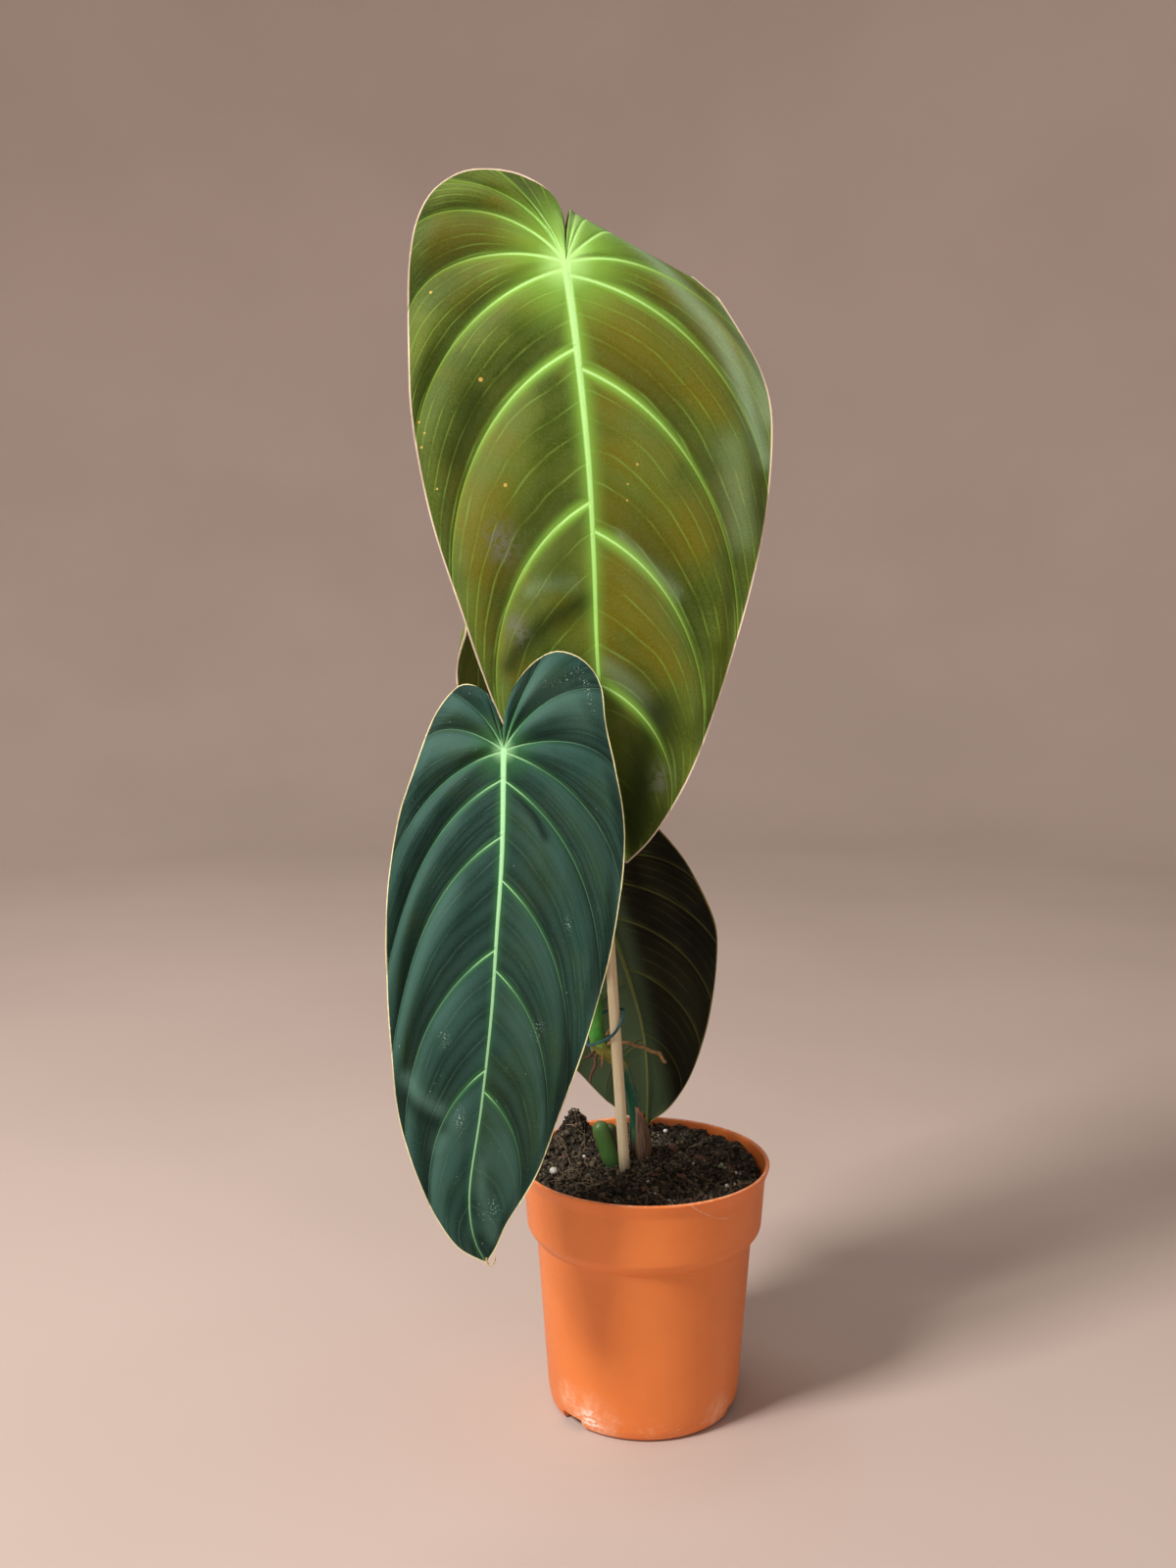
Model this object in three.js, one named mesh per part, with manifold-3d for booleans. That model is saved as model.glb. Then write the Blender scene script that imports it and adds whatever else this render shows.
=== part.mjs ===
// A potted black gold philodendron: four heart-shaped hanging blades on long stalks, a jointed stem tied to
// a bamboo stake, and a thin orange nursery pot of soil. Millimetres, +Z up, with the origin in the middle
// of the pot's foot. Seen along +Y, the way the plant faces.

import * as THREE from "three";
import { mergeVertices } from "three/addons/utils/BufferGeometryUtils.js";
import Module from "manifold-3d";

const wasm = await Module();
wasm.setup();

// Driving dimensions of the pot
const POT_HEIGHT = 120;
const RIM_RADIUS = 60;
const RIM_FLARE = 2.2;
const BAND_HEIGHT = 31;
const BAND_FOOT_RADIUS = 56.2;
const STEP_RADIUS = 51.6;
const STEP_HEIGHT = 5.5;
const FOOT_RADIUS = 44;
const WALL = 1.3;
const FLOOR_RAISED = 3.4;
const FLOOR_THICK = 1.5;
const FOOT_RING_WIDTH = 2.6;
const CENTRE_PAD_RADIUS = 14;
const NOTCH_WIDTH = 16;
const NOTCH_HEIGHT = 5;
const NOTCH_DEPTH = 9;
const NOTCH_BEARINGS = [-140, -22, 98];
const POT_SEGMENTS = 40;

// Driving dimensions of what stands in the pot
const CLEARANCE = 0.3;
const SOIL_LEVEL = 114.5;
const SOIL_LUMP = 1;
const SOIL_RINGS = 12;
const SOIL_SECTORS = 40;
const STAKE_RADIUS = 2.8;
const STAKE_FOOT = [-2.6, 0, 14];
const STAKE_TOP = [-31.2, 0, 440];
const TIE_RADIUS = 0.7;
const BLADE_THICK = 0.8;
const BLADE_RINGS = 6;

// The colours of the pieces
const COLOURS = {
  pot: "#d9713a",
  soil: "#2b201a",
  bamboo: "#c9ab84",
  wire: "#2f6f70",
  stem: "#4f8f3c",
  shoot: "#6c9a4a",
  husk: "#6a4a36",
  stalk: "#5d8a45",
  olive: "#6d7a2c",
  velvet: "#24463d",
  dark: "#2c3820",
};

const part = new THREE.Group();

function addMesh(name, geometry, colour, roughness, parent = part) {
  const material = new THREE.MeshStandardMaterial({ color: colour, roughness, metalness: 0 });
  const mesh = new THREE.Mesh(geometry, material);
  mesh.name = name;
  parent.add(mesh);
  return mesh;
}

const vector = ([x, y, z = 0]) => new THREE.Vector3(x, y, z);
const smoothCurve = (points) => new THREE.CatmullRomCurve3(points.map(vector), false, "centripetal");
const clamp01 = (x) => Math.min(1, Math.max(0, x));

function smoothstep(low, high, x) {
  const s = clamp01((x - low) / (high - low));
  return s * s * (3 - 2 * s);
}

// Booleans

function toSolid(geometry) {
  const bare = geometry.clone();
  for (const name of Object.keys(bare.attributes)) {
    if (name !== "position") bare.deleteAttribute(name);
  }
  const merged = mergeVertices(bare, 1e-4);
  const vertProperties = new Float32Array(merged.attributes.position.array);
  const triVerts = new Uint32Array(merged.index.array);
  return new wasm.Manifold(new wasm.Mesh({ numProp: 3, vertProperties, triVerts }));
}

function toGeometry(solid) {
  const made = solid.getMesh();
  const geometry = new THREE.BufferGeometry();
  geometry.setAttribute("position", new THREE.BufferAttribute(new Float32Array(made.vertProperties), 3));
  geometry.setIndex(new THREE.BufferAttribute(new Uint32Array(made.triVerts), 1));
  return geometry;
}

const join = (geometries) => toGeometry(geometries.map(toSolid).reduce((all, solid) => all.add(solid)));

function cut(geometry, tools) {
  return toGeometry(tools.map(toSolid).reduce((left, tool) => left.subtract(tool), toSolid(geometry)));
}

// A tube through points [x, y, z, radius], round in section and closed at both ends
function taperedTube(points, sides, steps, grow = 0) {
  const curve = smoothCurve(points);
  const frames = curve.computeFrenetFrames(steps, false);
  const position = [];
  const index = [];
  const radiusAt = (t) => {
    const place = t * (points.length - 1);
    const before = Math.min(points.length - 2, Math.floor(place));
    return THREE.MathUtils.lerp(points[before][3], points[before + 1][3], place - before) + grow;
  };
  for (let i = 0; i <= steps; i++) {
    const u = i / steps;
    const centre = curve.getPointAt(u);
    const radius = radiusAt(curve.getUtoTmapping(u));
    for (let k = 0; k < sides; k++) {
      const angle = (2 * Math.PI * k) / sides;
      const rim = frames.normals[i].clone().multiplyScalar(radius * Math.cos(angle));
      rim.addScaledVector(frames.binormals[i], radius * Math.sin(angle)).add(centre);
      position.push(rim.x, rim.y, rim.z);
    }
  }
  for (let i = 0; i < steps; i++) {
    for (let k = 0; k < sides; k++) {
      const a = i * sides + k;
      const b = i * sides + ((k + 1) % sides);
      index.push(a, b, b + sides, a, b + sides, a + sides);
    }
  }
  const last = steps * sides;
  for (let k = 1; k < sides - 1; k++) {
    index.push(0, k + 1, k);
    index.push(last, last + k, last + k + 1);
  }
  const geometry = new THREE.BufferGeometry();
  geometry.setAttribute("position", new THREE.BufferAttribute(new Float32Array(position), 3));
  geometry.setIndex(index);
  return geometry;
}

// The pot: a thin turned wall with a rim band, a raised floor and notches cut through the foot

const BAND_FOOT_Z = POT_HEIGHT - BAND_HEIGHT;
const STEP_Z = BAND_FOOT_Z - STEP_HEIGHT;
const FLOOR_TOP = FLOOR_RAISED + FLOOR_THICK;

function potGeometry() {
  const outside = [
    [0, 0],
    [CENTRE_PAD_RADIUS, 0],
    [CENTRE_PAD_RADIUS + 0.8, FLOOR_RAISED],
    [FOOT_RADIUS - FOOT_RING_WIDTH - 0.8, FLOOR_RAISED],
    [FOOT_RADIUS - FOOT_RING_WIDTH, 0],
    [FOOT_RADIUS - 0.9, 0],
    [FOOT_RADIUS + 0.5, 1.2],
    [FOOT_RADIUS + 1.5, 4.2],
    [FOOT_RADIUS + 2.3, 9.5],
    [STEP_RADIUS, STEP_Z],
    [STEP_RADIUS + 1.2, STEP_Z + 1],
    [BAND_FOOT_RADIUS - 0.9, BAND_FOOT_Z - 1.1],
    [BAND_FOOT_RADIUS, BAND_FOOT_Z + 0.8],
    [RIM_RADIUS - RIM_FLARE, POT_HEIGHT - 7],
    [RIM_RADIUS - 0.4, POT_HEIGHT - 2],
    [RIM_RADIUS, POT_HEIGHT - 0.7],
    [RIM_RADIUS - 0.5, POT_HEIGHT],
  ];
  const inside = [
    [RIM_RADIUS - WALL - 0.2, POT_HEIGHT],
    [RIM_RADIUS - WALL - 0.9, POT_HEIGHT - 0.8],
    [RIM_RADIUS - RIM_FLARE - WALL, POT_HEIGHT - 7],
    ...INNER_WALL,
    [0, FLOOR_TOP],
  ];
  const profile = [...outside, ...inside].map(([r, z]) => new THREE.Vector2(r, z));
  const turned = new THREE.LatheGeometry(profile, POT_SEGMENTS).rotateX(Math.PI / 2);
  const notches = NOTCH_BEARINGS.map((bearing) => {
    const notch = new THREE.BoxGeometry(NOTCH_DEPTH, NOTCH_WIDTH, 2 * NOTCH_HEIGHT);
    return notch.translate(FOOT_RADIUS, 0, 0).rotateZ(THREE.MathUtils.degToRad(bearing));
  });
  return cut(turned, notches);
}

// The inner face of the wall from the band down to the floor, which the soil follows
const INNER_WALL = [
  [BAND_FOOT_RADIUS - WALL, BAND_FOOT_Z + 1],
  [STEP_RADIUS - WALL + 0.2, STEP_Z + 1],
  [FOOT_RADIUS + 2.3 - WALL, 9.5],
  [FOOT_RADIUS + 0.4 - WALL, FLOOR_TOP],
];

addMesh("pot", potGeometry(), COLOURS.pot, 0.45);

// The stem, with the aerial roots that grow from its node, as [x, y, z, radius]

const STEM = [
  [1, 19, 80, 2.2],
  [-1, 18.5, 100, 2.9],
  [-2.2, 18, 116, 3],
  [-4.4, 17.5, 140, 2.8],
  [-7.4, 15, 152, 2.7],
  [-10.4, 12.5, 161, 2.8],
  [-16, 10.6, 167.5, 3.2],
  [-20.6, 9.6, 170.6, 4.1],
  [-22.6, 9, 176, 3.7],
  [-23, 8.6, 186, 3.3],
  [-24, 8.2, 196, 3.9],
  [-24.6, 8, 208, 3.4],
  [-25, 8, 220, 3.9],
  [-25.4, 8.6, 230, 2.6],
];
const AERIAL_ROOTS = [
  [[-21.5, 9, 171, 1], [-23.2, 5, 167.6, 0.95], [-24.6, 3.2, 162, 0.85], [-26.6, 2, 157, 0.6]],
  [[-22, 9, 172, 0.9], [-25.4, 5, 169.8, 0.8], [-29.4, 4, 167.6, 0.5]],
  [[-20.4, 9, 170, 0.9], [-19.8, 4.8, 167.4, 0.8], [-20.6, 4, 163.4, 0.5]],
  [
    [-20, 9.4, 172, 1], [-15, 7.6, 175.2, 1], [-8, 7.4, 174.6, 0.9], [0, 7.6, 172.2, 0.9], [7, 8, 169, 1],
    [10.6, 8, 164.6, 0.8],
  ],
  [[-21, 9, 176, 1], [-15.6, 7.4, 181.6, 0.9], [-10.6, 6.6, 184.6, 0.6]],
];
const STEM_SIDES = 8;
const STEM_STEPS = 26;
const ROOT_SIDES = 5;
const stemTube = (grow) => taperedTube(STEM, STEM_SIDES, STEM_STEPS, grow);
const rootTubes = AERIAL_ROOTS.map((points) => taperedTube(points, ROOT_SIDES, 2 * points.length));

addMesh("stem", join([stemTube(0), ...rootTubes]), COLOURS.stem, 0.5);

// The bamboo stake, with two slightly swollen joints

const STAKE_JOINTS = [0.3, 0.62];
const STAKE_JOINT_SWELL = 0.5;
const STAKE_JOINT_HALF = 0.008;

function stakePoints() {
  const foot = vector(STAKE_FOOT);
  const top = vector(STAKE_TOP);
  const points = [[...STAKE_FOOT, STAKE_RADIUS]];
  for (const joint of STAKE_JOINTS) {
    for (const [shift, swell] of [[-1, 0], [0, STAKE_JOINT_SWELL], [1, 0]]) {
      const place = foot.clone().lerp(top, joint + shift * STAKE_JOINT_HALF);
      points.push([place.x, place.y, place.z, STAKE_RADIUS + swell]);
    }
  }
  points.push([...STAKE_TOP, STAKE_RADIUS - 0.2]);
  return points;
}

// A straight round rod with a ring at each point [x, y, z, radius]
function rod(points, sides, grow = 0) {
  const foot = vector(points[0]);
  const axis = vector(points[points.length - 1]).sub(foot);
  const profile = points.map((p) => new THREE.Vector2(p[3] + grow, vector(p).sub(foot).length()));
  profile.unshift(new THREE.Vector2(0, -grow));
  profile[1].y = -grow;
  profile[profile.length - 1].y += grow;
  profile.push(new THREE.Vector2(0, axis.length() + grow));
  const turned = new THREE.LatheGeometry(profile, sides);
  const turn = new THREE.Quaternion().setFromUnitVectors(new THREE.Vector3(0, 1, 0), axis.normalize());
  return turned.applyQuaternion(turn).translate(foot.x, foot.y, foot.z);
}

const STAKE_SIDES = 12;
const stakeRod = (grow) => rod(stakePoints(), STAKE_SIDES, grow);
addMesh("stake", stakeRod(0), COLOURS.bamboo, 0.6);

// The coated wire: one slanted loop drawn round the stem and the stake

const TIE_STEM = [-22.8, 8.8, 3.5];
const TIE_STAKE = [-14, 0, STAKE_RADIUS];
const TIE_LEVEL = 184;
const TIE_SLOPE = [1.39, 0.79];
const TIE_MIDDLE = [(TIE_STEM[0] + TIE_STAKE[0]) / 2, (TIE_STEM[1] + TIE_STAKE[1]) / 2];
const TIE_ARC_POINTS = 6;

function tiePoints() {
  const out = TIE_RADIUS + CLEARANCE + 0.15;
  const along = Math.atan2(TIE_STAKE[1] - TIE_STEM[1], TIE_STAKE[0] - TIE_STEM[0]);
  const points = [];
  for (const [[x, y, radius], middle] of [[TIE_STAKE, along], [TIE_STEM, along + Math.PI]]) {
    for (let k = 0; k < TIE_ARC_POINTS; k++) {
      const angle = middle + Math.PI * (k / (TIE_ARC_POINTS - 1) - 0.5);
      points.push([x + (radius + out) * Math.cos(angle), y + (radius + out) * Math.sin(angle)]);
    }
  }
  const [slopeX, slopeY] = TIE_SLOPE;
  const height = (x, y) => TIE_LEVEL + slopeX * (x - TIE_MIDDLE[0]) + slopeY * (y - TIE_MIDDLE[1]);
  return points.map(([x, y]) => new THREE.Vector3(x, y, height(x, y)));
}

// A round tube along a closed loop of points
function loopGeometry(points, radius, sides, steps) {
  const curve = new THREE.CatmullRomCurve3(points, true, "centripetal");
  const frames = curve.computeFrenetFrames(steps, true);
  const position = [];
  const index = [];
  for (let i = 0; i < steps; i++) {
    const next = (i + 1) % steps;
    const centre = curve.getPointAt(i / steps);
    for (let k = 0; k < sides; k++) {
      const angle = (2 * Math.PI * k) / sides;
      const rim = frames.normals[i].clone().multiplyScalar(radius * Math.cos(angle));
      rim.addScaledVector(frames.binormals[i], radius * Math.sin(angle)).add(centre);
      position.push(rim.x, rim.y, rim.z);
      const a = i * sides + k;
      const b = i * sides + ((k + 1) % sides);
      const c = next * sides + ((k + 1) % sides);
      const d = next * sides + k;
      index.push(a, b, c, a, c, d);
    }
  }
  const geometry = new THREE.BufferGeometry();
  geometry.setAttribute("position", new THREE.BufferAttribute(new Float32Array(position), 3));
  geometry.setIndex(index);
  return geometry;
}

addMesh("tie", loopGeometry(tiePoints(), TIE_RADIUS, 6, 30), COLOURS.wire, 0.4);

// The short cut shoots at the foot of the stem, which share one buried base

const SHOOTS = [
  [
    [-10.5, 9, 92, 2], [-13.4, 7, 103, 3], [-15.4, 6.2, 112, 3.5], [-18.6, 6, 124, 3.5], [-21.4, 6, 134, 3.2],
    [-22, 6, 136.4, 2.2],
  ],
  [
    [-10.5, 9, 92, 2], [-11.6, 12, 104, 2.4], [-13.6, 13.4, 115, 2.9], [-15.6, 13.6, 126, 2.9],
    [-16.6, 13.4, 132.6, 2.4],
  ],
];
const SHOOT_SIDES = 8;
const SHOOT_STEPS = 8;
const shootTubes = (grow) => SHOOTS.map((points) => taperedTube(points, SHOOT_SIDES, SHOOT_STEPS, grow));

addMesh("basal_shoot", join(shootTubes(0)), COLOURS.shoot, 0.5);

// The face through the points that point(i, j) gives on a grid
function gridFace(point, columns, rows) {
  const position = new Float32Array(columns * rows * 3);
  const index = [];
  for (let i = 0; i < columns; i++) {
    for (let j = 0; j < rows; j++) {
      point(i, j).toArray(position, 3 * (i * rows + j));
      if (i && j) {
        const a = (i - 1) * rows + j - 1;
        index.push(a, a + rows, a + rows + 1, a, a + rows + 1, a + 1);
      }
    }
  }
  const geometry = new THREE.BufferGeometry();
  geometry.setAttribute("position", new THREE.BufferAttribute(position, 3));
  geometry.setIndex(index);
  geometry.computeVertexNormals();
  return geometry;
}

// A closed plate between such a face and the same face moved back by its thickness
function plateGeometry(point, columns, rows, thick) {
  const face = gridFace(point, columns, rows);
  const position = [];
  for (const depth of [0, thick]) {
    for (let k = 0; k < columns * rows; k++) {
      const place = new THREE.Vector3().fromBufferAttribute(face.attributes.position, k);
      const normal = new THREE.Vector3().fromBufferAttribute(face.attributes.normal, k);
      position.push(...place.addScaledVector(normal, -depth).toArray());
    }
  }
  const back = columns * rows;
  const index = [...face.index.array];
  for (let k = 0; k < face.index.count; k += 3) {
    const [a, b, c] = face.index.array.slice(k, k + 3);
    index.push(back + a, back + c, back + b);
  }
  const edge = [];
  for (let i = 0; i < columns - 1; i++) edge.push(i * rows);
  for (let j = 0; j < rows - 1; j++) edge.push((columns - 1) * rows + j);
  for (let i = columns - 1; i > 0; i--) edge.push(i * rows + rows - 1);
  for (let j = rows - 1; j > 0; j--) edge.push(j);
  edge.forEach((a, k) => {
    const b = edge[(k + 1) % edge.length];
    index.push(a, back + a, back + b, a, back + b, b);
  });
  const geometry = new THREE.BufferGeometry();
  geometry.setAttribute("position", new THREE.BufferAttribute(new Float32Array(position), 3));
  geometry.setIndex(index);
  return geometry;
}

// The dry sheath: an open curled husk that stands round the foot of the stem and widens to a ragged top

const SHEATH_CENTRE = [-1.5, 18];
const SHEATH_FOOT_Z = 108;
const SHEATH_TOP_Z = 141;
const SHEATH_LEAN = -1.6;
const SHEATH_RADIUS = 4.6;
const SHEATH_BELLY = 1.1;
const SHEATH_DENT = 0.3;
const SHEATH_WRAP = 125;
const SHEATH_BACK_BEARING = 25;
const SHEATH_THICK = 0.7;
const SHEATH_COLUMNS = 13;
const SHEATH_ROWS = 7;

function sheathPoint(i, j) {
  const across = (2 * i) / (SHEATH_COLUMNS - 1) - 1;
  const up = j / (SHEATH_ROWS - 1);
  const ragged = 1 - 0.16 * across * across - 0.05 * Math.sin(9 * across);
  const z = SHEATH_FOOT_Z + (SHEATH_TOP_Z - SHEATH_FOOT_Z) * up * ragged;
  const bearing = THREE.MathUtils.degToRad(SHEATH_BACK_BEARING + SHEATH_WRAP * across);
  const belly = SHEATH_BELLY * Math.sin(Math.PI * Math.min(1, 1.1 * up));
  const radius = SHEATH_RADIUS + belly + SHEATH_DENT * Math.sin(5 * across);
  const x = SHEATH_CENTRE[0] + SHEATH_LEAN * up + radius * Math.cos(bearing);
  const y = SHEATH_CENTRE[1] + radius * Math.sin(bearing);
  return new THREE.Vector3(x, y, z);
}

const sheathPlate = plateGeometry(sheathPoint, SHEATH_COLUMNS, SHEATH_ROWS, SHEATH_THICK);
addMesh("dry_sheath", cut(sheathPlate, [stemTube(CLEARANCE)]), COLOURS.husk, 0.8);

// The soil fills the pot, with a lumpy top and plain holes for what stands in it

const SOIL_RIM_GAP = 1.2;
const SHEATH_HOLE = [[-1.5, 18, 107.6, 7.6], [-2.2, 18, 122, 8.6]];
const SHEATH_HOLE_SIDES = 14;

// The soil's mounds and hollows as [x, y, height, width]
const SOIL_FEATURES = [
  [-35, 38, 13, 8.7],
  [16, 26, -4, 11.4],
  [46, 6, -2.5, 9.5],
];

function soilHeight(x, y) {
  const lumps = Math.sin(0.21 * x + 1.3) * Math.cos(0.17 * y - 0.4) + 0.6 * Math.sin(0.43 * x - 0.31 * y + 2);
  const crumbs = 0.5 * Math.sin(0.9 * x + 0.5 * y) * Math.cos(0.8 * y - 0.3 * x);
  const features = SOIL_FEATURES.map(([cx, cy, height, width]) => {
    return height * Math.exp(-((x - cx) ** 2 + (y - cy) ** 2) / width ** 2);
  });
  return features.reduce((sum, feature) => sum + feature, SOIL_LEVEL + SOIL_LUMP * (lumps + crumbs));
}

function soilGeometry() {
  const gap = CLEARANCE + 0.1;
  const topRadius = RIM_RADIUS - RIM_FLARE - WALL - SOIL_RIM_GAP;
  const wall = INNER_WALL.map(([r, z], k) => [r - gap, z + (k === INNER_WALL.length - 1 ? gap : 0)]);
  const position = [];
  const index = [];
  const ring = (radius, height) => {
    for (let k = 0; k < SOIL_SECTORS; k++) {
      const angle = (2 * Math.PI * k) / SOIL_SECTORS;
      const x = radius * Math.cos(angle);
      const y = radius * Math.sin(angle);
      position.push(x, y, height(x, y));
    }
  };
  position.push(0, 0, soilHeight(0, 0));
  for (let i = 1; i <= SOIL_RINGS; i++) ring((topRadius * i) / SOIL_RINGS, soilHeight);
  wall.forEach(([r, z]) => ring(r, () => z));
  position.push(0, 0, FLOOR_TOP + gap);
  const rings = SOIL_RINGS + wall.length;
  const at = (i, k) => 1 + i * SOIL_SECTORS + (k % SOIL_SECTORS);
  for (let k = 0; k < SOIL_SECTORS; k++) {
    index.push(0, at(0, k), at(0, k + 1));
    for (let i = 0; i < rings - 1; i++) {
      index.push(at(i, k), at(i + 1, k), at(i + 1, k + 1));
      index.push(at(i, k), at(i + 1, k + 1), at(i, k + 1));
    }
    index.push(at(rings - 1, k), 1 + rings * SOIL_SECTORS, at(rings - 1, k + 1));
  }
  const geometry = new THREE.BufferGeometry();
  geometry.setAttribute("position", new THREE.BufferAttribute(new Float32Array(position), 3));
  geometry.setIndex(index);
  const sheathHole = taperedTube(SHEATH_HOLE, SHEATH_HOLE_SIDES, 1);
  return cut(geometry, [stemTube(CLEARANCE), stakeRod(CLEARANCE), ...shootTubes(CLEARANCE), sheathHole]);
}

addMesh("soil", soilGeometry(), COLOURS.soil, 0.95);

// The blades. Each is drawn in its own plane, seen on its upper face: x to the right, y from the tip to the
// base, with the stalk's joint at 0, 0. left and right are the margins from the bottom of the sinus to the
// tip. Veins leave the midrib, or the joint for those up to fan, and reach the margin at the given shares
// of its length. crowd sets how the midrib's length is shared out between them.

const LEAVES = {
  leaf_large: {
    colour: COLOURS.olive,
    base: [-36.8, -18, 532.8],
    tip: [-9.7, -42, 271.8],
    facing: 0,
    midrib: [[0, 0], [1, -35], [1, -86], [-1, -130], [-4, -176], [-4, -220], [0, -264]],
    left: {
      margin: [
        [1, 5], [1, 22], [-3, 31], [-10, 38], [-20, 44], [-32, 47], [-44, 46], [-55, 39], [-63, 27],
        [-68, 10], [-71, -10], [-73, -36], [-74, -57], [-71, -100], [-61, -147], [-49, -195], [-32, -232],
        [-14, -255], [0, -264],
      ],
      fan: 0.42, crowd: 2.05, fanVeins: [0.135, 0.19, 0.25, 0.345], veins: [0.485, 0.645, 0.79, 0.91],
    },
    right: {
      margin: [
        [1, 5], [3, 18], [8, 30], [18, 40], [30, 43], [42, 37], [51, 25], [56, 8], [59, -10], [66, -22],
        [73, -36], [80, -54], [83, -73], [78, -111], [66, -150], [48, -195], [29, -232], [12, -254],
        [0, -264],
      ],
      fan: 0.44, crowd: 2.5, fanVeins: [0.1, 0.17, 0.25, 0.38], veins: [0.56, 0.72, 0.845, 0.925],
    },
    lift: 38, lobeSweep: 65, sweep: 40,
    bulge: 6, fold: 0.08, puff: 2.2, wave: 1.6, waves: 5,
    curl: { from: [4.6, 20], to: [50.6, -11], radius: 6, turn: 150 },
    spread: [3, 2],
  },
  leaf_front: {
    colour: COLOURS.velvet,
    base: [-62.9, -62, 323.6],
    tip: [-70.4, -88, 106.1],
    facing: 0,
    midrib: [[0, 0], [1, -45], [0, -80], [-1, -112], [-4, -152], [-8, -193], [-5, -211], [0, -219]],
    left: {
      margin: [
        [-1, 8], [-4, 18], [-7, 23], [-12, 27], [-19, 28], [-25, 23], [-31, 13], [-38, -9], [-44, -30],
        [-47, -55], [-47, -85], [-46, -103], [-43, -130], [-39, -159], [-31, -181], [-22, -200],
        [-12, -213], [0, -219],
      ],
      fan: 0.33, crowd: 2.5, fanVeins: [0.06, 0.12, 0.2], veins: [0.385, 0.54, 0.655, 0.785, 0.88],
    },
    right: {
      margin: [
        [-1, 8], [0, 17], [3, 27], [8, 35], [14, 41], [21, 44], [30, 42], [37, 36], [41, 28], [43, 14],
        [48, -6], [52, -25], [53, -42], [51, -67], [48, -87], [44, -104], [37, -130], [29, -154],
        [21, -178], [15, -190], [8, -202], [4, -212], [0, -219],
      ],
      fan: 0.42, crowd: 2.7, fanVeins: [0.12, 0.22, 0.33], veins: [0.485, 0.62, 0.765, 0.84, 0.915],
    },
    lift: 32, lobeSweep: 60, sweep: 27,
    bulge: 8, fold: 0.12, puff: 2.6, wave: 1.2, waves: 5,
    spread: [3, 2],
  },
  leaf_back_right: {
    colour: COLOURS.dark,
    base: [-31.5, 34, 258],
    tip: [3.2, 43, 121.5],
    facing: 166,
    midrib: [[0, 0], [-5, -25], [-8, -55], [-9, -92], [-6, -115], [0, -141]],
    left: {
      margin: [
        [0, 7], [-3, 20], [-12, 31], [-27, 32], [-39, 20], [-47, 6], [-54, -10], [-58, -28], [-59, -45],
        [-55, -62], [-48, -82], [-39, -101], [-27, -120], [-13, -134], [0, -141],
      ],
      fan: 0.36, crowd: 2.2, fanVeins: [0.12, 0.24], veins: [0.42, 0.56, 0.68, 0.79, 0.89],
    },
    right: {
      margin: [
        [0, 7], [3, 19], [12, 29], [25, 31], [37, 21], [44, 2], [48, -25], [47, -55], [42, -82],
        [33, -102], [22, -120], [10, -134], [0, -141],
      ],
      fan: 0.36, crowd: 2.2, fanVeins: [0.12, 0.24], veins: [0.43, 0.58, 0.7, 0.81, 0.9],
    },
    lift: 34, lobeSweep: 60, sweep: 36,
    bulge: 6, fold: 0.1, puff: 1.8, wave: 1, waves: 4,
    spread: [2, 2],
  },
  leaf_back_left: {
    colour: COLOURS.olive,
    base: [-75, 30, 392],
    tip: [-80, 48, 301],
    facing: 238,
    midrib: [[0, 0], [1, -32], [0, -64], [0, -94]],
    left: {
      margin: [
        [0, 5], [-2, 13], [-8, 20], [-17, 21], [-26, 14], [-31, 0], [-33, -20], [-32, -38], [-27, -59],
        [-18, -77], [-8, -89], [0, -94],
      ],
      fan: 0.36, crowd: 2.2, fanVeins: [0.12, 0.24], veins: [0.43, 0.58, 0.72, 0.85],
    },
    right: {
      margin: [
        [0, 5], [2, 13], [8, 20], [17, 21], [26, 14], [31, 0], [33, -20], [32, -38], [27, -59],
        [18, -77], [8, -89], [0, -94],
      ],
      fan: 0.36, crowd: 2.2, fanVeins: [0.12, 0.24], veins: [0.44, 0.6, 0.74, 0.87],
    },
    lift: 34, lobeSweep: 60, sweep: 36,
    bulge: 5, fold: 0.5, puff: 1.6, wave: 1, waves: 4,
    spread: [2, 2],
  },
};

const FOLD_SOFTNESS = 6;
const LEAST_SPACING = 0.02;
const KEEL = 1.9;
const KEEL_HALF_WIDTH = 2.4;
const RIB = 0.6;

// The point of a flat blade at share u of the margin and v of the way from the midrib to it
function flatPoint(leaf, side, sign, t, u, v) {
  const from = leaf.midribCurve.getPointAt(t);
  const to = side.marginCurve.getPointAt(u);
  const chord = to.clone().sub(from);
  const fromSinus = Math.atan2(Math.abs(chord.x), chord.y);
  const lift = Math.min(THREE.MathUtils.degToRad(leaf.lift), 0.75 * fromSinus);
  const body = smoothstep(0.2, 0.6, u);
  const wanted = THREE.MathUtils.degToRad(THREE.MathUtils.lerp(leaf.lobeSweep, leaf.sweep, body));
  const sweep = Math.min(wanted, 0.75 * fromSinus);
  const upright = new THREE.Vector3(0, 0, 1);
  const leaving = chord.clone().multiplyScalar(0.36).applyAxisAngle(upright, sign * lift);
  const arriving = chord.clone().multiplyScalar(-0.36).applyAxisAngle(upright, -sign * sweep);
  const second = from.clone().add(leaving);
  const third = to.clone().add(arriving);
  return new THREE.CubicBezierCurve3(from, second, third, to).getPoint(v);
}

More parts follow.
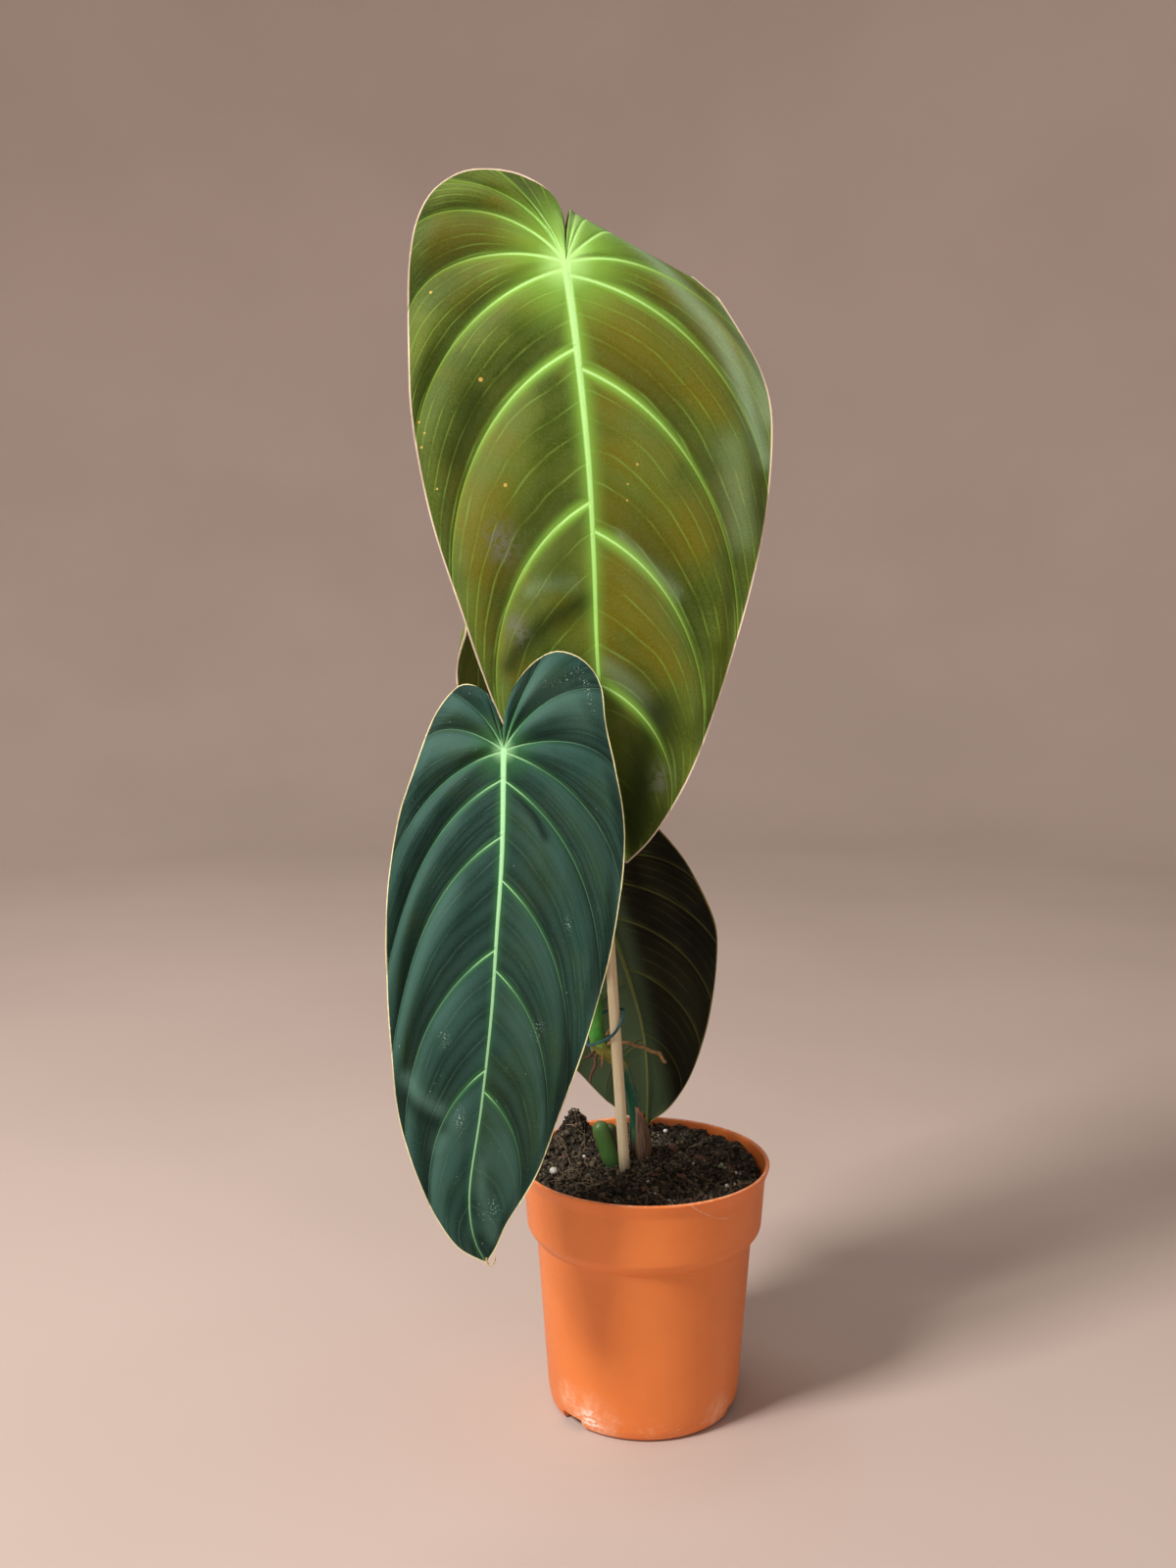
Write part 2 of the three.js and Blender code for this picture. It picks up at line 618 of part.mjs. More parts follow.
// How far the quilted, arched and waved face stands out of the blade's plane there
function reliefAt(leaf, side, x, y, t, u, v) {
  const share = -y / leaf.length;
  const arch = 4 * leaf.bulge * share * (1 - share);
  const across = x - leaf.midribCurve.getPointAt(clamp01(share)).x;
  const sides = leaf.fold * (Math.hypot(across, FOLD_SOFTNESS) - FOLD_SOFTNESS);
  const next = side.allVeins.findIndex((vein) => vein > u);
  const after = next < 0 ? side.allVeins.length - 1 : next;
  const low = side.allVeins[after - 1];
  const high = side.allVeins[after];
  const width = (high - low) * side.length * v ** 0.7;
  const rise = smoothstep(0.02, 0.25, v) * (1 - 0.75 * smoothstep(0.75, 1, v));
  const puff = leaf.puff * Math.min(1, width / 25) * Math.sin((Math.PI * (u - low)) / (high - low)) * rise;
  const wave = leaf.wave * smoothstep(0.6, 1, v) * smoothstep(0, 0.12, u) * smoothstep(1, 0.85, u);
  return arch - sides + puff + wave * Math.sin(2 * Math.PI * leaf.waves * u);
}

// Rolls what lies beyond a line of the blade back round a cylinder
function curled(curl, point) {
  if (!curl) return point;
  const from = new THREE.Vector2(...curl.from);
  const along = new THREE.Vector2(...curl.to).sub(from).normalize();
  const out = new THREE.Vector2(-along.y, along.x);
  const reach = (point.x - from.x) * out.x + (point.y - from.y) * out.y;
  if (reach <= 0) return point;
  const most = THREE.MathUtils.degToRad(curl.turn);
  const angle = Math.min(reach / curl.radius, most);
  const rest = reach - curl.radius * angle;
  const stand = curl.radius + point.z;
  const moved = stand * Math.sin(angle) + rest * Math.cos(angle);
  const depth = stand * Math.cos(angle) - rest * Math.sin(angle) - curl.radius;
  return new THREE.Vector3(point.x + (moved - reach) * out.x, point.y + (moved - reach) * out.y, depth);
}

function bladePoint(leaf, side, sign, t, u, v) {
  const flat = flatPoint(leaf, side, sign, t, u, v);
  flat.z = reliefAt(leaf, side, flat.x, flat.y, t, u, v);
  return sign > 0 ? curled(leaf.curl, flat) : flat;
}

// Splits each stretch between neighbouring values into equal steps
function split(values, steps) {
  const made = [values[0]];
  for (let k = 1; k < values.length; k++) {
    for (let s = 1; s <= steps; s++) made.push(THREE.MathUtils.lerp(values[k - 1], values[k], s / steps));
  }
  return made;
}

// The vein lines that the blade's grid follows: shares of the midrib t and of both margins
function bladeColumns(leaf) {
  const { left, right } = leaf;
  const [fanSteps, bodySteps] = leaf.spread;
  const fans = [left, right].map((side) => split([0, ...side.fanVeins, side.fan], fanSteps));
  const columns = fans[0].map((u, i) => ({ t: 0, u: [u, fans[1][i]] }));
  const origin = (side, u) => ((u - side.fan) / (1 - side.fan)) ** side.crowd;
  const reached = (side, t) => side.fan + (1 - side.fan) * t ** (1 / side.crowd);
  const shares = [left, right].flatMap((side) => side.veins.map((u) => origin(side, u) ** 0.5));
  const sorted = split([0, ...shares.sort((a, b) => a - b), 1], bodySteps);
  for (let k = 1; k < sorted.length; k++) {
    const s = sorted[k];
    const apart = s - sorted[k - 1] > LEAST_SPACING;
    if (!apart && s !== 1 && !shares.includes(s)) continue;
    columns.push({ t: s * s, u: [reached(left, s * s), reached(right, s * s)] });
  }
  columns.forEach((column) => {
    column.rib = [left, right].map((side, h) => {
      return side.allVeins.some((vein) => vein > 0 && vein < 1 && Math.abs(vein - column.u[h]) < 1e-6);
    });
  });
  return columns;
}

function bladeGeometry(leaf) {
  leaf.midribCurve = smoothCurve(leaf.midrib);
  leaf.length = -leaf.midrib[leaf.midrib.length - 1][1];
  for (const side of [leaf.left, leaf.right]) {
    side.marginCurve = smoothCurve(side.margin);
    side.length = side.marginCurve.getLength();
    side.allVeins = [0, ...side.fanVeins, ...side.veins, 1];
  }
  const columns = bladeColumns(leaf);
  const last = columns.length - 1;
  const keys = new Map();
  const tops = [];
  const extras = [];
  // The number of the grid's vertex. The midrib, the line to the sinus and the tip are shared by the halves.
  const vertex = (h, i, j) => {
    const onMidrib = j === 0 || i === last;
    const fanned = columns[i].t === 0;
    const key = onMidrib ? (fanned ? "joint" : `m${i}`) : i === 0 ? `s${j}` : `${h}:${i}:${j}`;
    if (!keys.has(key)) {
      keys.set(key, tops.length);
      const side = h ? leaf.right : leaf.left;
      const { t, u, rib } = columns[i];
      const chord = leaf.midribCurve.getPointAt(t).distanceTo(side.marginCurve.getPointAt(u[h]));
      const first = Math.min(0.3, KEEL_HALF_WIDTH / Math.max(chord, 1));
      const v = j === 0 ? 0 : first + (1 - first) * ((j - 1) / (BLADE_RINGS - 1)) ** 0.9;
      tops.push(bladePoint(leaf, side, h ? 1 : -1, t, u[h], v));
      const keel = KEEL * (1 - 0.55 * t);
      extras.push(onMidrib ? (i === last ? 0 : keel) : rib[h] && j < BLADE_RINGS ? RIB * (1 - 0.6 * v) : 0);
    }
    return keys.get(key);
  };
  const index = [];
  const triangle = (a, b, c) => {
    if (a !== b && b !== c && a !== c) index.push(a, b, c);
  };
  for (const h of [0, 1]) {
    for (let i = 0; i < last; i++) {
      for (let j = 0; j < BLADE_RINGS; j++) {
        const a = vertex(h, i, j);
        const b = vertex(h, i + 1, j);
        const c = vertex(h, i + 1, j + 1);
        const d = vertex(h, i, j + 1);
        if (h) {
          triangle(a, b, c);
          triangle(a, c, d);
        } else {
          triangle(a, c, b);
          triangle(a, d, c);
        }
      }
    }
  }
  const face = new THREE.BufferGeometry();
  const flat = new Float32Array(tops.flatMap((p) => p.toArray()));
  face.setAttribute("position", new THREE.BufferAttribute(flat, 3));
  face.setIndex(index);
  face.computeVertexNormals();
  const position = [...flat];
  tops.forEach((top, k) => {
    const normal = new THREE.Vector3().fromBufferAttribute(face.attributes.normal, k);
    position.push(...top.clone().addScaledVector(normal, -(BLADE_THICK + extras[k])).toArray());
  });
  const back = tops.length;
  const all = [...index];
  for (let k = 0; k < index.length; k += 3) {
    all.push(back + index[k], back + index[k + 2], back + index[k + 1]);
  }
  // The rim runs down the left margin to the tip and back up the right one
  const rim = [];
  for (let i = 0; i <= last; i++) rim.push(vertex(0, i, BLADE_RINGS));
  for (let i = last - 1; i > 0; i--) rim.push(vertex(1, i, BLADE_RINGS));
  rim.forEach((a, k) => {
    const b = rim[(k + 1) % rim.length];
    all.push(a, back + a, back + b, a, back + b, b);
  });
  const geometry = new THREE.BufferGeometry();
  geometry.setAttribute("position", new THREE.BufferAttribute(new Float32Array(position), 3));
  geometry.setIndex(all);
  return geometry;
}

// Stands the blade's plane up: y points from the tip to the base, and facing turns it about the upright
function bladeAxes(leaf) {
  const up = vector(leaf.base).sub(vector(leaf.tip)).normalize();
  const facing = THREE.MathUtils.degToRad(leaf.facing);
  const right = new THREE.Vector3(Math.cos(facing), Math.sin(facing), 0);
  right.addScaledVector(up, -right.dot(up)).normalize();
  return { right, up, out: right.clone().cross(up) };
}

for (const [name, leaf] of Object.entries(LEAVES)) {
  const group = new THREE.Group();
  const { right, up, out } = bladeAxes(leaf);
  group.quaternion.setFromRotationMatrix(new THREE.Matrix4().makeBasis(right, up, out));
  group.position.copy(vector(leaf.base));
  part.add(group);
  addMesh(name, bladeGeometry(leaf), leaf.colour, 0.5, group);
}

// The leaf stalks: from the stem up to the back of each blade's joint, as [x, y, z, radius]

const STALKS = {
  petiole_large: {
    leaf: LEAVES.leaf_large,
    path: [
      [-25.2, 8.4, 224, 3.6], [-26.4, 8.6, 240, 3.7], [-29.6, 10, 300, 3.5], [-34.6, 12, 380, 3.3],
      [-39, 11, 450, 3.1], [-40, 6, 496, 3], [-39, -1, 520, 3],
    ],
  },
  petiole_front: {
    leaf: LEAVES.leaf_front,
    path: [
      [-24.4, 8, 202, 3], [-26.6, 0, 212, 3.2], [-31, -14, 234, 3], [-42, -34, 264, 2.8],
      [-55, -46, 296, 2.6], [-60.5, -49, 314, 2.6],
    ],
  },
  petiole_back_right: {
    leaf: LEAVES.leaf_back_right,
    path: [
      [-24, 8.2, 196, 2.6], [-23.6, 15, 203, 2.8], [-26, 20.5, 216, 2.6], [-31, 22.5, 236, 2.4],
      [-34, 23.5, 249, 2.4],
    ],
  },
  petiole_back_left: {
    leaf: LEAVES.leaf_back_left,
    path: [
      [-24.6, 8, 210, 2.6], [-32, 10.6, 217, 2.8], [-42, 16, 254, 2.6], [-56, 20, 322, 2.4],
      [-68, 19, 364, 2.4], [-72, 21.5, 382, 2.4],
    ],
  },
};
const STALK_SIDES = 8;
const STALK_STEP = 22;

for (const [name, stalk] of Object.entries(STALKS)) {
  const { out } = bladeAxes(stalk.leaf);
  const radius = stalk.path[stalk.path.length - 1][3];
  const joint = (away) => [...vector(stalk.leaf.base).addScaledVector(out, -away).toArray(), radius];
  const points = [...stalk.path, joint(6.5), joint(BLADE_THICK + KEEL + CLEARANCE)];
  const steps = Math.round(smoothCurve(points).getLength() / STALK_STEP) + 6;
  const tube = taperedTube(points, STALK_SIDES, steps);
  addMesh(name, cut(tube, [stemTube(CLEARANCE)]), COLOURS.stalk, 0.5);
}

export default part;
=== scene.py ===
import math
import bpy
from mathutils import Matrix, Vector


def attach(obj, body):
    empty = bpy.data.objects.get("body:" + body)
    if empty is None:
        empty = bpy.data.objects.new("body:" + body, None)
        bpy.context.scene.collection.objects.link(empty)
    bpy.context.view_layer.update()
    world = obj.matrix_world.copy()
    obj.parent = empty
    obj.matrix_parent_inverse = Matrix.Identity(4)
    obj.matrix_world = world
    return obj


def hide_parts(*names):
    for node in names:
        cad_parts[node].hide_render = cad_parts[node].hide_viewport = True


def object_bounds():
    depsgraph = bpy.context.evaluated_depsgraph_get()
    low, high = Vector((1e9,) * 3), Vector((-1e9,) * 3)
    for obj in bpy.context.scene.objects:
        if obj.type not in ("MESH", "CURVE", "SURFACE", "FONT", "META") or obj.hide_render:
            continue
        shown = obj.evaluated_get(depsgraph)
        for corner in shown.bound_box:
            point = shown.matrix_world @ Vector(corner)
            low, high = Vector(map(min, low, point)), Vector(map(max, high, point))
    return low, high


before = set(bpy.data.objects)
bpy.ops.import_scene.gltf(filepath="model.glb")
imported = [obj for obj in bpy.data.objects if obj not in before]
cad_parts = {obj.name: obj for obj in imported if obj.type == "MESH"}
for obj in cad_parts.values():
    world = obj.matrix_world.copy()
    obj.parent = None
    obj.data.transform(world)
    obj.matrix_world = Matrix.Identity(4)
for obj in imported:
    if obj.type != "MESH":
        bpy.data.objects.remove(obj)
cad_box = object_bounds()

# The looks of a potted black gold philodendron: fine blades with veins, stalks, stem and aerial roots, a
# bamboo stake, crumbly potting mix and a thin orange nursery pot. Lengths are in millimetres until a mesh is
# made.

from types import SimpleNamespace

import bpy
import numpy as np
from mathutils import Vector, noise

MM = 0.001
rng = np.random.default_rng(11)


def smoothstep(low, high, x):
    s = np.clip((np.asarray(x, float) - low) / (high - low), 0, 1)
    return s * s * (3 - 2 * s)


class Curve:
    """A centripetal Catmull-Rom curve through points, walked by its length."""

    def __init__(self, points):
        self.points = np.array(points, float)
        self.t = np.linspace(0, 1, 201)
        steps = np.linalg.norm(np.diff(self.raw(self.t), axis=0), axis=1)
        self.reach = np.concatenate([[0], np.cumsum(steps)])
        self.length = self.reach[-1]

    def raw(self, t):
        p = self.points
        last = len(p) - 1
        place = np.clip(np.asarray(t, float), 0, 1) * last
        k = np.minimum(place.astype(int), last - 1)
        w = (place - k)[..., None]
        padded = np.vstack([2 * p[0] - p[1], p, 2 * p[-1] - p[-2]])
        a, b, c, d = (padded[k + i] for i in range(4))

        def gap(m, n):
            return np.maximum(np.sum((m - n) ** 2, axis=-1, keepdims=True) ** 0.25, 1e-6)

        ab, bc, cd = gap(a, b), gap(b, c), gap(c, d)
        leave = ((b - a) / ab - (c - a) / (ab + bc) + (c - b) / bc) * bc
        arrive = ((c - b) / bc - (d - b) / (bc + cd) + (d - c) / cd) * bc
        return b + w * (leave + w * (3 * (c - b) - 2 * leave - arrive + w * (2 * (b - c) + leave + arrive)))

    def place(self, share):
        return np.interp(np.asarray(share, float) * self.length, self.reach, self.t)

    def at(self, share):
        return self.raw(self.place(share))


# Meshes

def weld(verts, faces, values):
    """Merges vertices that lie together and drops faces that this collapses."""
    _, first, back = np.unique(np.round(verts, 4), axis=0, return_index=True, return_inverse=True)
    back = back.reshape(-1)
    kept = []
    for face in faces:
        ring = [back[v] for v in face]
        ring = [v for k, v in enumerate(ring) if v != ring[k - 1]]
        if len(set(ring)) == len(ring) > 2:
            kept.append(ring)
    return verts[first], kept, {k: v[first] for k, v in values.items()}


def normals_of(verts, faces):
    total = np.zeros_like(verts)
    triangles = [(f[0], f[k], f[k + 1]) for f in faces for k in range(1, len(f) - 1)]
    tri = np.array(triangles)
    cross = np.cross(verts[tri[:, 1]] - verts[tri[:, 0]], verts[tri[:, 2]] - verts[tri[:, 0]])
    for k in range(3):
        np.add.at(total, tri[:, k], cross)
    return total / np.maximum(np.linalg.norm(total, axis=1, keepdims=True), 1e-9)


def thicken(verts, faces, values, depth, upright=0.0):
    """Closes an open sheet into a plate, straight along z where upright is 1. The value side is 0 on its face
    and 1 on its back."""
    count = len(verts)
    share = np.broadcast_to(upright, count)[:, None]
    inward = normals_of(verts, faces) * (1 - share) + np.array([0.0, 0.0, 1.0]) * share
    back = verts - inward * np.broadcast_to(depth, count)[:, None]
    edges = dict.fromkeys(pair for face in faces for pair in zip(face, face[1:] + face[:1]))
    rim = [[b, a, a + count, b + count] for a, b in edges if (b, a) not in edges]
    behind = [[v + count for v in reversed(face)] for face in faces]
    doubled = {k: np.concatenate([v, v]) for k, v in values.items()}
    doubled["side"] = np.repeat([0.0, 1.0], count)
    return np.vstack([verts, back]), faces + behind + rim, doubled


def grid_faces(columns, rows):
    """Faces of a grid whose vertex i, j has the number i * rows + j."""
    return [
        [i * rows + j, (i + 1) * rows + j, (i + 1) * rows + j + 1, i * rows + j + 1]
        for i in range(columns - 1) for j in range(rows - 1)
    ]


def ring_faces(rings, sides, first=0, looped=False, flipped=False):
    """Faces between rings of vertices numbered from first. Where looped, the last ring joins the first one."""
    faces = []
    for i in range(rings if looped else rings - 1):
        here, there = first + i * sides, first + (i + 1) % rings * sides
        for k in range(sides):
            n = (k + 1) % sides
            quad = [here + k, here + n, there + n, there + k]
            faces.append([quad[0], *quad[:0:-1]] if flipped else quad)
    return faces


def circle(radius, z, sides):
    angles = [2 * math.pi * k / sides for k in range(sides)]
    return [[radius * math.cos(angle), radius * math.sin(angle), z] for angle in angles]


def hoops(centre, ahead, across, spread):
    """The vertices of a ring round each point of a line, as wide as spread says for each of them."""
    angle = np.arange(spread.shape[1]) / spread.shape[1] * 2 * math.pi
    other = np.cross(ahead, across)
    ring = np.cos(angle)[None, :, None] * across[:, None] + np.sin(angle)[None, :, None] * other[:, None]
    return (centre[:, None] + spread[..., None] * ring).reshape(-1, 3)


def unit(vectors):
    return vectors / np.linalg.norm(vectors, axis=-1, keepdims=True)


def make_piece(name, slot, replaces, material, verts, faces, values=None, sharp=50.0):
    """A mesh object from millimetres, kept inside the solids' box, with its values stored for the material."""
    low, high = (np.array(corner) / MM for corner in cad_box)
    mesh = bpy.data.meshes.new(name)
    mesh.from_pydata((np.clip(verts, low, high) * MM).tolist(), [], [list(map(int, f)) for f in faces])
    for key, value in (values or {}).items():
        kind, field = ("FLOAT_VECTOR", "vector") if np.ndim(value) == 2 else ("FLOAT", "value")
        mesh.attributes.new(key, kind, "POINT").data.foreach_set(field, np.ravel(value).astype(np.float32))
    mesh.shade_smooth()
    mesh.set_sharp_from_angle(angle=math.radians(sharp))
    mesh.materials.append(material)
    piece = bpy.data.objects.new(name, mesh)
    bpy.context.scene.collection.objects.link(piece)
    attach(piece, "root")
    if replaces:
        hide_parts(*replaces)
    return piece


class Parts:
    """Collects small meshes and their values into one."""

    def __init__(self):
        self.verts, self.faces, self.values, self.count = [], [], {}, 0

    def add(self, verts, faces, **values):
        self.verts.append(verts)
        self.faces += [[v + self.count for v in face] for face in faces]
        for key, value in values.items():
            self.values.setdefault(key, []).append(np.full(len(verts), value) if np.isscalar(value) else value)
        self.count += len(verts)

    def whole(self):
        return np.vstack(self.verts), self.faces, {k: np.concatenate(v) for k, v in self.values.items()}


def tube(points, sides, steps, rounded=True, shape=None):
    """A closed tube through points x, y, z, radius: vertices, faces and the values along and around."""
    points = np.array(points, float)
    curve = Curve(points[:, :3])
    shares = np.linspace(0, 1, steps + 1)
    place = curve.place(shares)
    centre = curve.raw(place)
    radius = np.interp(place * (len(points) - 1), np.arange(len(points)), points[:, 3])
    along = shares * curve.length
    if rounded:
        left = np.clip((curve.length - along) / np.maximum(radius, 1e-6), 0, 1)
        radius = radius * np.sqrt(np.clip(1 - (1 - left) ** 2, 0.02, 1))
    ahead = unit(np.gradient(centre, axis=0))
    across = [unit(np.cross(ahead[0], [0.31, 0.87, 0.38]))]
    for here in ahead[1:]:
        across.append(unit(across[-1] - here * np.dot(across[-1], here)))
    angle = np.arange(sides) / sides * 2 * math.pi
    spread = radius[:, None] * np.ones(sides)
    if shape is not None:
        spread = spread * shape(along[:, None], angle[None, :])
    ends = [list(range(sides))[::-1], [steps * sides + k for k in range(sides)]]
    values = {"along": np.repeat(along, sides), "around": np.tile(angle, steps + 1)}
    return hoops(centre, ahead, np.array(across), spread), ring_faces(steps + 1, sides) + ends, values


# Materials

class Number:
    """A value that a material's nodes work out, with the usual signs for sums."""

    def __init__(self, look, socket):
        self.look, self.socket = look, socket

    def __add__(self, other):
        return self.look.math("ADD", self, other)

    def __sub__(self, other):
        return self.look.math("SUBTRACT", self, other)

    def __rsub__(self, other):
        return self.look.math("SUBTRACT", other, self)

    def __mul__(self, other):
        return self.look.math("MULTIPLY", self, other)

    def __truediv__(self, other):
        return self.look.math("DIVIDE", self, other)

    def __pow__(self, other):
        return self.look.math("POWER", self, other)


class Look:
    """One procedural material, painted in layers. Its patterns lie where the vector where says."""

    def __init__(self, name, flat=None):
        self.material = bpy.data.materials.new(name)
        self.material.use_nodes = True
        self.tree = self.material.node_tree
        self.tree.nodes.clear()
        if flat:
            self.where = self.node("Attribute", attribute_name=flat).outputs["Vector"]
        else:
            self.where = self.node("TexCoord").outputs["Object"]

    def node(self, kind, sockets=None, **settings):
        made = self.tree.nodes.new("ShaderNode" + kind)
        for key, value in settings.items():
            setattr(made, key, value)
        for key, value in (sockets or {}).items():
            socket = made.inputs[key]
            value = value.socket if isinstance(value, Number) else value
            if isinstance(value, bpy.types.NodeSocket):
                self.tree.links.new(value, socket)
            elif socket.type == "RGBA" and len(value) == 3:
                socket.default_value = (*value, 1)
            else:
                socket.default_value = value
        return made

    def math(self, operation, a, b=0.0):
        return Number(self, self.node("Math", {0: a, 1: b}, operation=operation).outputs[0])

    def larger(self, *values):
        most = values[0]
        for value in values[1:]:
            most = self.math("MAXIMUM", most, value)
        return most

    def band(self, value, low, high, start=0.0, end=1.0):
        """From start to end as the value goes from low to high, smoothly."""
        sockets = {"Value": value, "From Min": low, "From Max": high, "To Min": start, "To Max": end}
        made = self.node("MapRange", sockets, interpolation_type="SMOOTHSTEP", clamp=True)
        return Number(self, made.outputs[0])

    def mix(self, share, a, b):
        return self.node("Mix", {0: share, 6: a, 7: b}, data_type="RGBA").outputs[2]

    def ground(self, share, a, b):
        """The first layer: colour a, or b where share is 1."""
        self.colour = self.mix(share, a, b)

    def paint(self, share, colour):
        """Lays a colour over the layers below it, by that share."""
        self.colour = self.mix(share, self.colour, colour)

    def value(self, name):
        return Number(self, self.node("Attribute", attribute_name=name).outputs["Fac"])

    def noise(self, scale, detail=3.0, roughness=0.5, distortion=0.0, where=None):
        sockets = {"Scale": scale, "Detail": detail, "Roughness": roughness, "Distortion": distortion}
        sockets["Vector"] = self.where if where is None else where
        return Number(self, self.node("TexNoise", sockets).outputs["Fac"])

    def axis(self, letter):
        return Number(self, self.node("SeparateXYZ", {0: self.where}).outputs[letter])

    def far(self, point):
        made = self.node("VectorMath", {0: self.where, 1: point}, operation="DISTANCE")
        return Number(self, made.outputs["Value"])

    def stretched(self, x, y, z):
        return self.node("VectorMath", {0: self.where, 1: (x, y, z)}, operation="MULTIPLY").outputs[0]

    def thread(self, stretch):
        """Places on a tube, for a grain that runs along it."""
        around = self.value("around")
        round_it = {1: self.math("SINE", around), 2: self.math("COSINE", around)}
        return self.node("CombineXYZ", {0: self.value("along") * stretch, **round_it}).outputs[0]

    def voronoi(self, scale, feature="F1"):
        return self.node("TexVoronoi", {"Vector": self.where, "Scale": scale}, feature=feature)

    def dots(self, scale, size, share):
        """Round specks of that size in some of the cells of a random pattern."""
        cells = self.voronoi(scale)
        chosen = self.node("SeparateColor", {0: cells.outputs["Color"]}).outputs[0]
        return self.band(cells.outputs["Distance"], size, size * 0.35) * self.math("LESS_THAN", chosen, share)

    def finish(self, roughness, height=None, depth=0.0003, strength=1.0, more=None, through=0.0, light=None):
        """The material, with a bump of that depth and more settings. The share through of the light passes."""
        sockets = {"Base Color": self.colour, "Roughness": roughness, **(more or {})}
        if height is not None:
            bump = self.node("Bump", {"Height": height, "Distance": depth, "Strength": strength})
            sockets["Normal"] = bump.outputs[0]
        shader = self.node("BsdfPrincipled", sockets).outputs[0]
        if through:
            back = self.node("BsdfTranslucent", {"Color": light}).outputs[0]
            shader = self.node("MixShader", {0: through, 1: shader, 2: back}).outputs[0]
        self.node("OutputMaterial", {"Surface": shader})
        return self.material


def plain_look(name, dark, pale, roughness, grain, reach=(0.35, 0.65), **bump):
    """A look of two colours mixed by one noise, which makes the bump too. grain has the noise's settings."""
    look = Look(name)
    skin = look.noise(*grain)
    look.ground(look.band(skin, *reach), dark, pale)
    return look.finish(roughness, skin, **bump)


